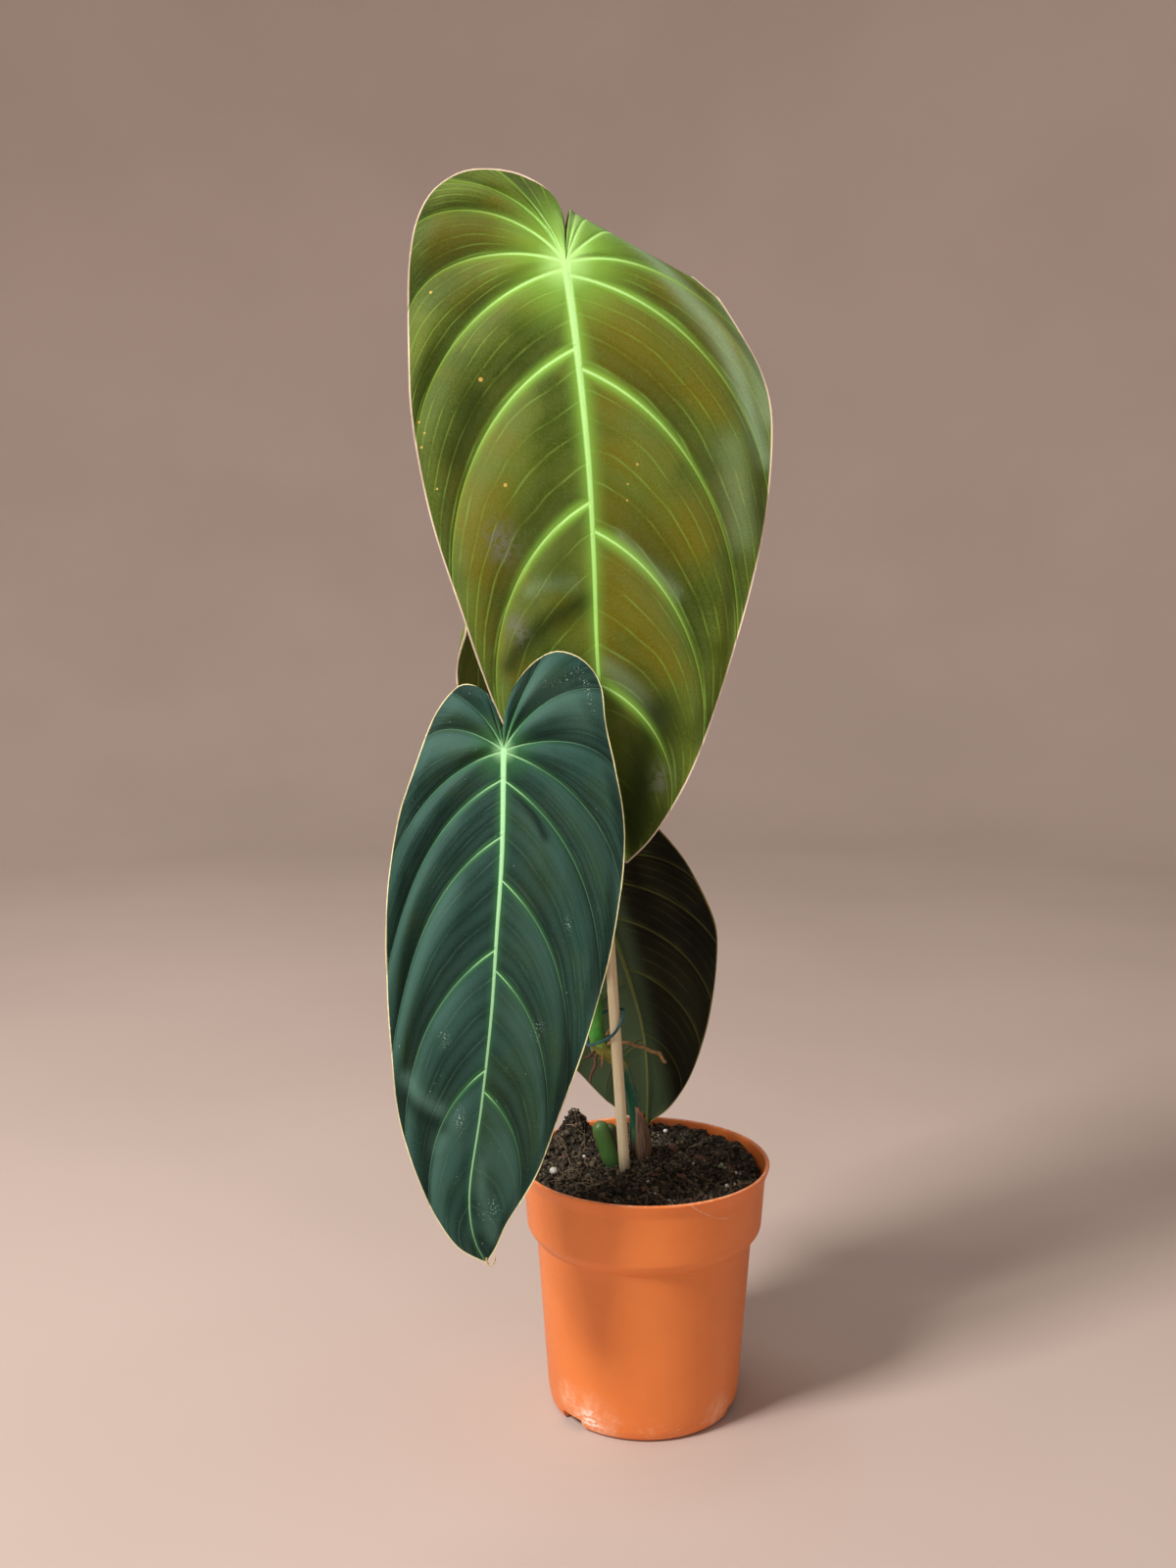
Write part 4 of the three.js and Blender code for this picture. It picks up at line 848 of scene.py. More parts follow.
def blade(name, leaf):
    leaf["mid_curve"] = Curve(leaf["midrib"])
    leaf["length"] = -leaf["midrib"][-1][1]
    halves = [(leaf["left"], -1), (leaf["right"], 1)]
    marks = []
    for half, _ in halves:
        half["curve"] = Curve(half["margin"])
        half["length"] = half["curve"].length
        half["marks"] = np.array([0, *half["fan_veins"], *half["veins"], 1])
        veins = np.array(half["veins"])
        marks.append(((veins - half["fan"]) / (1 - half["fan"])) ** (half["crowd"] / 2))
    root_t = with_marks(np.linspace(0, 1, BODY_COLUMNS), np.concatenate(marks))
    whole = Parts()
    for half, sign in halves:
        fan = with_marks(np.linspace(0, half["fan"], FAN_COLUMNS), np.array(half["fan_veins"]))[:-1]
        t = np.concatenate([np.zeros(len(fan)), root_t**2])
        u = np.concatenate([fan, half["fan"] + (1 - half["fan"]) * root_t ** (2 / half["crowd"])])
        points, values = blade_half(leaf, half, sign, t, u)
        faces = [face[::sign] for face in grid_faces(len(t), BLADE_ROWS)]
        flat = {k: v.reshape(-1, 3) if v.ndim == 3 else v.reshape(-1) for k, v in values.items()}
        whole.add(points.reshape(-1, 3), faces, **flat)
    verts, faces, values = weld(*whole.whole())
    in_blade = values["margin_mm"] > 1
    keel = KEEL * (1 - 0.55 * values["down"]) * np.exp(-((values["mid_mm"] / KEEL_WIDTH) ** 2)) * in_blade
    ribs = RIB * np.exp(-((values["vein_mm"] / RIB_WIDTH) ** 2)) * (1 - 0.7 * values["out"])
    near_joint = np.exp(-((np.linalg.norm(verts[:, :2], axis=1) / JOINT_REACH) ** 2))
    verts, faces, values = thicken(verts, faces, values, BLADE_THICK + np.maximum(keel, ribs), near_joint)
    verts = np.array(leaf["base"]) + verts @ blade_axes(leaf)
    look = blade_look(name, leaf["look"])
    make_piece("blade_" + name[5:], leaf["slot"], [name], look, verts, faces, values, sharp=60)


def blade_axes(leaf):
    """The blade's own x, y and outward axes in the part's frame, as rows."""
    up = unit(np.array(leaf["base"], float) - np.array(leaf["tip"], float))
    facing = math.radians(leaf["facing"])
    right = np.array([math.cos(facing), math.sin(facing), 0])
    right = unit(right - up * right.dot(up))
    return np.array([right, up, np.cross(right, up)])


for leaf_name, leaf_data in LEAVES.items():
    blade(leaf_name, leaf_data)

# The dry, curled end of the front blade's tip

TIP_CURL = np.array([
    [0, -216.4, 0.4, 0.5], [0.2, -218.4, 0.3, 0.42], [1.4, -219.6, 0.2, 0.36], [2.9, -218.8, 0.8, 0.32],
    [3.8, -216.8, 1.0, 0.28], [3.5, -215.2, 0.7, 0.2],
])

front = LEAVES["leaf_front"]
curl_path = np.hstack([np.array(front["base"]) + TIP_CURL[:, :3] @ blade_axes(front), TIP_CURL[:, 3:]])
curl_look = plain_look("tip_curl", (0.30, 0.17, 0.07), (0.66, 0.50, 0.26), 0.7, (900, 4, 0.6), depth=0.0002)
make_piece("tip_curl", "leaf_velvet", [], curl_look, *tube(curl_path, 8, 40))

# The leaf stalks, as x, y, z, radius, up to the back of each blade's joint

STALKS = {
    "large": [
        [-25.2, 8.4, 224, 3.6], [-26.4, 8.6, 240, 3.7], [-29.6, 10, 300, 3.5], [-34.6, 12, 380, 3.3],
        [-39, 11, 450, 3.1], [-40, 6, 496, 3], [-39, -1, 520, 3],
    ],
    "front": [
        [-24.4, 8, 202, 3], [-26.6, 0, 212, 3.2], [-31, -14, 234, 3], [-42, -34, 264, 2.8],
        [-55, -46, 296, 2.6], [-60.5, -49, 314, 2.6],
    ],
    "back_right": [
        [-24, 8.2, 196, 2.6], [-23.6, 15, 203, 2.8], [-26, 20.5, 216, 2.6], [-31, 22.5, 236, 2.4],
        [-34, 23.5, 249, 2.4],
    ],
    "back_left": [
        [-24.6, 8, 210, 2.6], [-32, 10.6, 217, 2.8], [-42, 16, 254, 2.6], [-56, 20, 322, 2.4],
        [-68, 19, 364, 2.4], [-72, 21.5, 382, 2.4],
    ],
}
STALK_END = [(7, 1), (2.7, 0.75)]


def stalk_look():
    look = Look("petiole")
    streaks = look.noise(5.5, 4, 0.6, where=look.thread(0.02))
    flecks = look.dots(900, 0.25, 0.35)
    look.ground(look.band(streaks, 0.3, 0.7), (0.055, 0.16, 0.028), (0.15, 0.30, 0.07))
    look.paint(flecks * 0.5, (0.45, 0.55, 0.3))
    look.paint(look.band(look.value("left"), 26, 10) * 0.7, (0.20, 0.38, 0.08))
    rough = look.band(streaks, 0.3, 0.7, 0.4, 0.55)
    return look.finish(rough, streaks + flecks, 0.0003, 0.7, {"Sheen Weight": 0.1})


def stalk_shape(length):
    def shape(along, around):
        swell = 0.16 * np.exp(-(((along - length + 14) / 9) ** 2)) + 0.12 * np.exp(-((along / 8) ** 2))
        groove = -0.10 * np.exp(-((np.angle(np.exp(1j * (around - 1.2))) / 0.35) ** 2))
        return 1 + swell + groove * smoothstep(10, 40, along) + 0.012 * np.sin(5 * around + along / 30)
    return shape


stalk_material = stalk_look()
for name, path in STALKS.items():
    owner = LEAVES["leaf_" + name]
    base, out = np.array(owner["base"]), blade_axes(owner)[2]
    route = np.array(path + [[*(base - out * away), path[-1][3] * share] for away, share in STALK_END])
    length = Curve(route[:, :3]).length
    verts, faces, values = tube(route, 22, 130, rounded=False, shape=stalk_shape(length))
    values["left"] = length - values["along"]
    make_piece("stalk_" + name, "petiole_green", ["petiole_" + name], stalk_material, verts, faces, values)

# The stem with its nodes, and the aerial roots, each with its tone from brown to pale

STEM = [
    [1, 19, 80, 2.2], [-1, 18.5, 100, 2.9], [-2.2, 18, 116, 3], [-4.4, 17.5, 140, 2.8], [-7.4, 15, 152, 2.7],
    [-10.4, 12.5, 161, 2.8], [-16, 10.6, 167.5, 3.2], [-20.6, 9.6, 170.6, 4.1], [-22.6, 9, 176, 3.7],
    [-23, 8.6, 186, 3.3], [-24, 8.2, 196, 3.9], [-24.6, 8, 208, 3.4], [-25, 8, 220, 3.9],
    [-25.4, 8.6, 230, 2.6],
]
STEM_NODES = (100, 106, 131, 154)
AERIAL_ROOTS = [
    (0.1, [[-21.5, 9, 171, 1], [-23.2, 5, 167.6, 0.95], [-24.6, 3.2, 162, 0.85], [-26.6, 2, 157, 0.6]]),
    (0.0, [[-22, 9, 172, 0.9], [-25.4, 5, 169.8, 0.8], [-29.4, 4, 167.6, 0.5]]),
    (0.5, [[-20.4, 9, 170, 0.9], [-19.8, 4.8, 167.4, 0.8], [-20.6, 4, 163.4, 0.5]]),
    (1.0, [
        [-20, 9.4, 172, 1], [-15, 7.6, 175.2, 1], [-8, 7.4, 174.6, 0.9], [0, 7.6, 172.2, 0.9], [7, 8, 169, 1],
        [10.6, 8, 164.6, 0.8],
    ]),
    (0.6, [[-21, 9, 176, 1], [-15.6, 7.4, 181.6, 0.9], [-10.6, 6.6, 184.6, 0.6]]),
]


def stem_look():
    look = Look("stem")
    height, mottle = look.axis("Z"), look.noise(220, 4)
    look.ground(look.band(height, 0.158, 0.166), (0.012, 0.105, 0.060), (0.30, 0.30, 0.05))
    look.paint(look.band(height, 0.170, 0.178), (0.035, 0.26, 0.022))
    look.paint(look.band(height, 0.205, 0.225), (0.10, 0.24, 0.05))
    look.paint(look.band(mottle, 0.45, 0.75, 0, 0.35), (0.20, 0.26, 0.07))
    look.paint(look.band(height, 0.128, 0.118), (0.05, 0.035, 0.02))
    return look.finish(0.42, mottle, 0.0004, 0.5)


def root_look():
    look = Look("aerial_root")
    skin = look.noise(700, 4, 0.6)
    look.ground(look.value("tone"), (0.085, 0.030, 0.018), (0.34, 0.20, 0.08))
    look.paint(look.band(skin, 0.35, 0.7, 0, 0.5), (0.045, 0.022, 0.012))
    return look.finish(0.75, skin)


def stem_shape(along, around):
    rings = sum(0.10 * np.exp(-(((along - place) / 1.4) ** 2)) for place in STEM_NODES)
    return 1 + rings + 0.02 * np.sin(3 * around + along / 9)


def aerial_root(path):
    bend = rng.uniform(0, 6, 3)

    def shape(along, around):
        return 1 + 0.12 * np.sin(along * 1.3 + bend[0]) * np.cos(around + bend[1])

    verts, faces, values = tube(path, 10, 46, shape=shape)
    along = values["along"][:, None]
    return verts + 0.25 * np.sin(along * 0.8 + bend) * smoothstep(0, 5, along), faces


make_piece("stem_jointed", "stem_green", ["stem"], stem_look(), *tube(STEM, 24, 170, shape=stem_shape))
roots = Parts()
for tone, path in AERIAL_ROOTS:
    roots.add(*aerial_root(path), tone=tone)
make_piece("aerial_roots", "stem_green", ["stem"], root_look(), *roots.whole())

# The bamboo stake with two knots, and the coated wire that holds the stem to it

STAKE_FOOT = np.array([-2.6, 0, 14])
STAKE_TOP = np.array([-31.2, 0, 440])
STAKE_RADIUS = 2.8
STAKE_LENGTH = np.linalg.norm(STAKE_TOP - STAKE_FOOT)
KNOTS = np.array([0.53, 0.84]) * STAKE_LENGTH
STAKE_PATH = [
    [*STAKE_FOOT, STAKE_RADIUS - 0.1], [*(STAKE_FOOT + STAKE_TOP) / 2, STAKE_RADIUS - 0.2],
    [*STAKE_TOP, STAKE_RADIUS - 0.3],
]


def bamboo_look():
    look = Look("bamboo")
    thread = look.thread(0.012)
    grain = look.noise(11, 5, 0.65, where=thread)
    look.ground(look.band(look.noise(2.2, 2, where=thread), 0.3, 0.7), (0.72, 0.60, 0.36), (0.86, 0.76, 0.52))
    look.paint(look.band(grain, 0.52, 0.75, 0, 0.55), (0.46, 0.33, 0.17))
    look.paint(look.band(grain, 0.45, 0.25, 0, 0.5), (0.93, 0.86, 0.68))
    look.paint(look.value("ring"), (0.20, 0.12, 0.05))
    look.paint(look.band(look.value("along"), 112, 98) * 0.75, (0.05, 0.03, 0.015))
    look.paint(look.dots(260, 0.12, 0.1) * 0.8, (0.06, 0.035, 0.02))
    return look.finish(look.band(grain, 0.3, 0.7, 0.45, 0.65), grain, 0.0003, 0.8)


def near_knots(along, past, reach):
    """One bump for each knot, as high as 1 at that distance past it."""
    return sum(np.exp(-(((along - knot - past) / reach) ** 2)) for knot in KNOTS)


def stake_shape(along, around):
    swell = 0.15 * near_knots(along, 0, 1.5) - 0.05 * near_knots(along, 2.6, 0.7)
    return 1 + swell + 0.018 * np.sin(2 * around + along / 60) + 0.01 * np.sin(7 * around)


verts, faces, values = tube(STAKE_PATH, 28, 420, rounded=False, shape=stake_shape)
values["ring"] = np.clip(near_knots(values["along"], 2.4, 0.5), 0, 1)
make_piece("bamboo_stake", "bamboo", ["stake"], bamboo_look(), verts, faces, values)

TIE_STEM = [-22.8, 8.8, 3.5]
TIE_STAKE = [-14, 0, STAKE_RADIUS]
TIE_LEVEL = 184
TIE_SLOPE = [1.39, 0.79]
TIE_CLEAR = 1.15
WIRE_RADIUS, WIRE_SIDES = 0.7, 12


def wire_points():
    """The middle line of the wire: half round the stake, half round the stem, and straight between them."""
    ends = []
    along = math.atan2(TIE_STAKE[1] - TIE_STEM[1], TIE_STAKE[0] - TIE_STEM[0])
    middle = [(TIE_STEM[k] + TIE_STAKE[k]) / 2 for k in (0, 1)]
    for (x, y, radius), centre in ((TIE_STAKE, along), (TIE_STEM, along + math.pi)):
        for angle in centre + math.pi * (np.arange(6) / 5 - 0.5):
            px, py = x + (radius + TIE_CLEAR) * math.cos(angle), y + (radius + TIE_CLEAR) * math.sin(angle)
            rise = TIE_SLOPE[0] * (px - middle[0]) + TIE_SLOPE[1] * (py - middle[1])
            ends.append([px, py, TIE_LEVEL + rise])
    loop = np.array([ends[-1], *ends, ends[0], ends[1]])
    return Curve(loop).raw(np.linspace(1, len(ends) + 1, 121)[:-1] / (len(loop) - 1))


centre = wire_points()
ahead = unit(np.roll(centre, -1, 0) - np.roll(centre, 1, 0))
across = unit(np.cross(ahead, [0.2, 0.1, 1.0]))
verts = hoops(centre, ahead, across, np.full((len(centre), WIRE_SIDES), WIRE_RADIUS))
faces = ring_faces(len(centre), WIRE_SIDES, looped=True)
wire_look = plain_look(
    "coated_wire", (0.010, 0.075, 0.095), (0.022, 0.15, 0.17), 0.35, (300, 3), (0.35, 0.7),
    depth=0.0002, strength=0.4,
)
make_piece("wire_tie", "coated_wire", ["tie"], wire_look, verts, faces)

# The short cut shoots, each with its tone from green to brown, and the dry sheath at the foot of the stem

SHOOTS = [
    (0.0, [
        [-10.5, 9, 92, 2], [-12.6, 7, 103, 3.4], [-14.4, 6.2, 112, 4.1], [-18.2, 6, 124, 4.1],
        [-21.3, 6, 134, 3.7], [-22, 6, 136.4, 2.7],
    ]),
    (1.0, [
        [-10.5, 9, 92, 2], [-11.6, 12, 104, 2.4], [-13.6, 13.4, 115, 2.9], [-15.6, 13.6, 126, 2.9],
        [-16.6, 13.4, 132.6, 2.4],
    ]),
]


def shoot_look():
    look = Look("cut_shoot")
    height = look.axis("Z")
    mottle = look.noise(260, 4, where=look.stretched(1, 1, 0.35))
    look.ground(look.value("tone"), (0.055, 0.15, 0.030), (0.075, 0.085, 0.030))
    look.paint(look.band(mottle, 0.4, 0.75, 0, 0.5), (0.12, 0.22, 0.06))
    look.paint(look.band(height, 0.121, 0.113, 0, 0.8), (0.012, 0.035, 0.010))
    look.paint(look.band(height, 0.1345, 0.1362, 0, 0.7), (0.16, 0.18, 0.09))
    return look.finish(0.4, mottle, 0.0003, 0.6)


def shoot_shape(along, around):
    return 1 + 0.05 * np.sin(2 * around + 0.4) + 0.02 * np.sin(along / 3)


shoots = Parts()
for tone, path in SHOOTS:
    verts, faces, _ = tube(path, 20, 60, shape=shoot_shape)
    shoots.add(verts, faces, tone=tone)
make_piece("cut_shoots", "shoot_green", ["basal_shoot"], shoot_look(), *shoots.whole())

SHEATH_FOOT = [-1.5, 18, 108]
SHEATH_HEIGHT, SHEATH_RADIUS, SHEATH_THICK = 33, 4.6, 0.6
SHEATH_MIDDLE, SHEATH_HALF_TURN = 16, 118


def bumps(x, y, z):
    return noise.noise(Vector((x, y, z)))


def sheath_mesh(columns=64, rows=36):
    x, y, z = SHEATH_FOOT
    points, acrosses, ups = [], [], []
    for i in range(columns):
        across = 2 * i / (columns - 1) - 1
        tear = 0.05 * bumps(7 * across, 0.3, 2.1) + 0.035 * bumps(23 * across, 1.3, 0.1)
        ragged = 1 - 0.22 * smoothstep(-1, -0.3, across) + 0.16 * smoothstep(0.2, 0.9, across) + tear
        bearing = math.radians(SHEATH_MIDDLE + SHEATH_HALF_TURN * across)
        for j in range(rows):
            up = j / (rows - 1)
            belly = 1.9 * math.sin(math.pi * min(1, 1.05 * up))
            wrinkle = 0.22 * bumps(9 * across, 1.2 * up, 5.0) * (0.3 + up)
            folds = 0.3 * math.sin(5 * across) + 0.5 * up**6 * math.sin(7 * across)
            radius = SHEATH_RADIUS + belly + wrinkle + folds
            points.append([
                x - 1.6 * up + radius * math.cos(bearing), y + radius * math.sin(bearing),
                z + SHEATH_HEIGHT * up * ragged,
            ])
            acrosses.append(across)
            ups.append(up)
    return np.array(points), grid_faces(columns, rows), {"across": np.array(acrosses), "up": np.array(ups)}


def husk_look():
    look = Look("dry_husk")
    across, up = look.value("across"), look.value("up")
    fibre = look.node("CombineXYZ", {0: across * 6.0, 1: up * 0.5}).outputs[0]
    streaks = look.noise(4.5, 5, 0.6, where=fibre)
    look.ground(look.band(streaks, 0.35, 0.68), (0.065, 0.032, 0.018), (0.30, 0.19, 0.12))
    look.paint(look.band(up, 0.90, 0.99, 0, 0.85), (0.40, 0.16, 0.08))
    look.paint(look.band(up, 0.35, 0.15, 0, 0.6), (0.025, 0.016, 0.010))
    # Painted shade on the husk's inner face, inside its curl
    look.paint(look.value("side") * 0.8, (0.030, 0.017, 0.011))
    return look.finish(0.6, streaks, 0.0006)


make_piece("sheath_husk", "dry_husk", ["dry_sheath"], husk_look(), *thicken(*sheath_mesh(), SHEATH_THICK))

# The potting mix: a lumpy surface covered with crumbs, white grains, bark chips and fibres

SOIL_LEVEL = 114.5
SOIL_RADIUS = 55.3
SOIL_WALL = [(54.4, 104), (54.0, 100)]
SOIL_FEATURES = [[-35, 38, 13, 8.7], [16, 26, -4, 11.4], [46, 6, -2.5, 9.5]]


def soil_height(x, y):
    lumps = np.sin(0.21 * x + 1.3) * np.cos(0.17 * y - 0.4) + 0.6 * np.sin(0.43 * x - 0.31 * y + 2)
    crumbs = 0.5 * np.sin(0.9 * x + 0.5 * y) * np.cos(0.8 * y - 0.3 * x)
    features = sum(h * np.exp(-((x - cx) ** 2 + (y - cy) ** 2) / w**2) for cx, cy, h, w in SOIL_FEATURES)
    return SOIL_LEVEL + lumps + crumbs + features


def rough_ground(x, y):
    """The soil's surface with its clods and crumbs, at one point."""
    clods = 1.5 * bumps(x * 0.16, y * 0.16, 3.0) + 1.1 * bumps(x * 0.34, y * 0.34, 7.0)
    crumbs = 0.9 * bumps(x * 0.8, y * 0.8, 1.0) + 0.5 * bumps(x * 1.7, y * 1.7, 5.0)
    pits = -1.2 * max(0.0, bumps(x * 0.25, y * 0.25, 11.0) - 0.15) * 3
    bank = 2.4 * smoothstep(40, 52, math.hypot(x, y)) * smoothstep(-5, 25, y)
    return float(soil_height(x, y) + bank) + clods + crumbs + pits


def soil_look():
    look = Look("soil")
    clods, crumbs = look.noise(140, 5, 0.65), look.noise(900, 4, 0.7)
    look.ground(look.band(clods, 0.35, 0.65), (0.009, 0.007, 0.005), (0.056, 0.045, 0.030))
    look.paint(look.band(crumbs, 0.5, 0.8, 0, 0.5), (0.115, 0.095, 0.068))
    return look.finish(0.95, clods * 1.4 + crumbs, 0.0012, more={"Specular IOR Level": 0.25})


def soil_mesh(rings=92, sectors=230):
    verts = [[0, 0, rough_ground(0, 0)]]
    for i in range(1, rings + 1):
        verts += [[x, y, rough_ground(x, y)] for x, y, _ in circle(SOIL_RADIUS * i / rings, 0, sectors)]
    for radius, z in SOIL_WALL:
        verts += circle(radius, z, sectors)
    faces = [[0, 1 + k, 1 + (k + 1) % sectors] for k in range(sectors)]
    faces += ring_faces(rings + 2, sectors, first=1, flipped=True)
    last = 1 + (rings + 1) * sectors
    return np.array(verts), faces + [[last + k for k in range(sectors)][::-1]]


make_piece("soil_surface", "potting_mix", ["soil"], soil_look(), *soil_mesh(), sharp=180)


def ball(level):
    """A round ball of triangles: 20 faces at level 0 and four times as many at each level up."""
    g = (1 + 5**0.5) / 2
    verts = [
        (-1, g, 0), (1, g, 0), (-1, -g, 0), (1, -g, 0), (0, -1, g), (0, 1, g), (0, -1, -g), (0, 1, -g),
        (g, 0, -1), (g, 0, 1), (-g, 0, -1), (-g, 0, 1),
    ]
    faces = [
        (0, 11, 5), (0, 5, 1), (0, 1, 7), (0, 7, 10), (0, 10, 11), (1, 5, 9), (5, 11, 4), (11, 10, 2),
        (10, 7, 6), (7, 1, 8), (3, 9, 4), (3, 4, 2), (3, 2, 6), (3, 6, 8), (3, 8, 9), (4, 9, 5), (2, 4, 11),
        (6, 2, 10), (8, 6, 7), (9, 8, 1),
    ]
    verts = [unit(np.array(v, float)) for v in verts]
    for _ in range(level):
        seen, finer = {}, []

        def middle(a, b):
            key = (min(a, b), max(a, b))
            if key not in seen:
                seen[key] = len(verts)
                verts.append(unit(verts[a] + verts[b]))
            return seen[key]

        for a, b, c in faces:
            ab, bc, ca = middle(a, b), middle(b, c), middle(c, a)
            finer += [(a, ab, ca), (b, bc, ab), (c, ca, bc), (ab, bc, ca)]
        faces = finer
    return np.array(verts), [list(f) for f in faces]


def turn_matrix():
    w, x, y, z = unit(rng.normal(size=4))
    return np.array([
        [1 - 2 * (y * y + z * z), 2 * (x * y - w * z), 2 * (x * z + w * y)],
        [2 * (x * y + w * z), 1 - 2 * (x * x + z * z), 2 * (y * z - w * x)],
        [2 * (x * z - w * y), 2 * (y * z + w * x), 1 - 2 * (x * x + y * y)],
    ])


def scatter(places, sizes, flatness, level, jitter, lift=0.3):
    """Uneven lumps on the soil, each a stretched and dented ball. It is turned, or only tilted where flat."""
    round_verts, round_faces = ball(level)
    lumps = Parts()
    for (x, y), size in zip(places, sizes):
        stretch = np.array([rng.uniform(0.8, 1.3), rng.uniform(0.6, 1.0), rng.uniform(*flatness)])
        dents = 1 + jitter * rng.uniform(-1, 1, (len(round_verts), 1))
        tilt = np.eye(3) + 0.25 * rng.normal(size=(3, 3)) if flatness[1] < 0.5 else turn_matrix()
        lump = (round_verts * dents * stretch * size) @ tilt.T
        lumps.add(lump + [x, y, rough_ground(x, y) + lift * size], round_faces, tone=float(rng.random()))
    return lumps.whole()


def spots(count, most):
    angle = rng.uniform(0, 2 * math.pi, count)
    radius = most * np.sqrt(rng.random(count))
    return np.stack([radius * np.cos(angle), radius * np.sin(angle)], axis=1)


def crumb_look():
    look = Look("soil_crumbs")
    tone = look.value("tone")
    skin = look.noise(1500, 3, 0.6)
    look.ground(look.band(tone, 0.0, 0.85), (0.008, 0.006, 0.004), (0.112, 0.087, 0.058))
    look.paint(look.band(tone, 0.88, 0.99), (0.17, 0.14, 0.09))
    look.paint(look.band(skin, 0.4, 0.7, 0, 0.4), (0.015, 0.011, 0.008))
    return look.finish(0.92, skin, 0.0004, more={"Specular IOR Level": 0.25})


CRUMBS = 4600
WHITE_GRAINS = np.array([
    [-43.3, -9.1, 2.3], [37.7, -25.1, 1.3], [45.8, -7.8, 1.1], [10.2, -37, 1.2], [43.7, -5.3, 0.9],
    [12.4, 45, 1.5],
])
BARK_CHIP = np.array([[16.2, 33.3, 3.6]])
MOSS = np.array([[37.3, 3.7, 1.5], [39.3, 5.7, 1.2], [41.3, 3.2, 1.1], [36.3, 2.2, 0.9], [40.8, 6.2, 0.8]])


def grains(name, look_name, pale, dark, roughness, seen, more, spread, most, *form):
    """A piece of lumps at the seen places x, y, size, and more of them at random places and sizes."""
    places, sizes = seen[:, :2], seen[:, 2]
    if more:
        places = np.vstack([places, spots(more, spread)])
        sizes = np.concatenate([sizes, rng.uniform(*most, more)])
    look = plain_look(look_name, dark, pale, roughness, (900, 4, 0.65), depth=0.0005)
    make_piece(name, "potting_mix", [], look, *scatter(places, sizes, *form), sharp=180)


crumb_sizes = np.clip(np.exp(rng.normal(-0.28, 0.36, CRUMBS)), 0.35, 2.2)
crumbs = scatter(spots(CRUMBS, 54.3), crumb_sizes, (0.6, 1.0), 0, 0.2)
make_piece("soil_crumbs", "potting_mix", [], crumb_look(), *crumbs, sharp=180)
grains("white_grains", "white_grain", (0.80, 0.79, 0.74), (0.42, 0.40, 0.36), 0.8,
       WHITE_GRAINS, 22, 52, (0.35, 0.8), (0.6, 0.9), 2, 0.13, 0.8)
grains("bark_chips", "bark_chip", (0.15, 0.065, 0.035), (0.05, 0.022, 0.014), 0.8,
       BARK_CHIP, 30, 50, (1.1, 3.0), (0.25, 0.45), 2, 0.09, 0.45)
grains("pale_grains", "pale_grain", (0.42, 0.50, 0.33), (0.16, 0.20, 0.12), 0.9,
       MOSS, 0, 0, (0, 0), (0.6, 0.9), 2, 0.2, 0.9)

FIBRE_STARTS = [[7, 23.7], [15, -6.6], [-31.5, -31.1], [-28, -29]]
FIBRE_STEPS = 5


def fibre_path(x, y, heading, length, radius):
    path = []
    step = length / FIBRE_STEPS
    bend = rng.normal(0, 0.06)
    for k in range(FIBRE_STEPS + 1):
        if x * x + y * y > 54**2:
            break
        lift = 0.4 + 1.1 * math.sin(math.pi * k / FIBRE_STEPS) * rng.random()
        path.append([x, y, rough_ground(x, y) + lift, radius])
        heading += bend * step + rng.normal(0, 0.22)
        x, y = x + math.cos(heading) * step, y + math.sin(heading) * step
    return path


def fibre_look():
    look = Look("fibre")
    look.ground(look.value("tone"), (0.045, 0.028, 0.016), (0.26, 0.18, 0.10))
    return look.finish(0.85)


fibres = Parts()
for x, y in np.vstack([FIBRE_STARTS, spots(190, 50)]):
    path = fibre_path(x, y, rng.uniform(0, 2 * math.pi), rng.uniform(6, 20), rng.uniform(0.1, 0.24))
    if len(path) > 2:
        verts, faces, _ = tube(path, 4, 9, rounded=False)
        fibres.add(verts, faces, tone=float(rng.random()) ** 1.5)
make_piece("soil_fibres", "potting_mix", [], fibre_look(), *fibres.whole(), sharp=180)

# The nursery pot

POT_HEIGHT, RIM_RADIUS, RIM_FLARE, BAND_HEIGHT, BAND_FOOT_RADIUS = 120, 60, 2.2, 31, 56.2
STEP_RADIUS, STEP_HEIGHT, FOOT_RADIUS, WALL = 51.6, 5.5, 44, 1.3
FLOOR_RAISED, FLOOR_THICK, FOOT_RING_WIDTH, CENTRE_PAD_RADIUS = 3.4, 1.5, 2.6, 14
NOTCH_WIDTH, NOTCH_HEIGHT, NOTCH_DEPTH, NOTCH_TAPER = 16, 5, 9, 1.5
NOTCH_BEARINGS = [-140, -22, 98]
BAND_FOOT_Z = POT_HEIGHT - BAND_HEIGHT
STEP_Z = BAND_FOOT_Z - STEP_HEIGHT
FLOOR_TOP = FLOOR_RAISED + FLOOR_THICK
SCUFF = (-0.0255, -0.0365, 0.006)
MILKY_SPOTS = [(0.034, -0.030, 0.008), (-0.036, -0.029, 0.014)]


def softened(profile, most):
    """Rounds each corner of a profile by up to that much."""
    def towards(here, other):
        away = np.linalg.norm(other - here)
        return here + (other - here) / away * min(most, 0.4 * away)

    points = [np.array(p, float) for p in profile]
    made = [points[0]]
    for before, here, after in zip(points, points[1:], points[2:]):
        start, end = towards(here, before), towards(here, after)
        made += [(1 - s) ** 2 * start + 2 * s * (1 - s) * here + s**2 * end for s in (0, 0.33, 0.67, 1)]
    return made + [points[-1]]


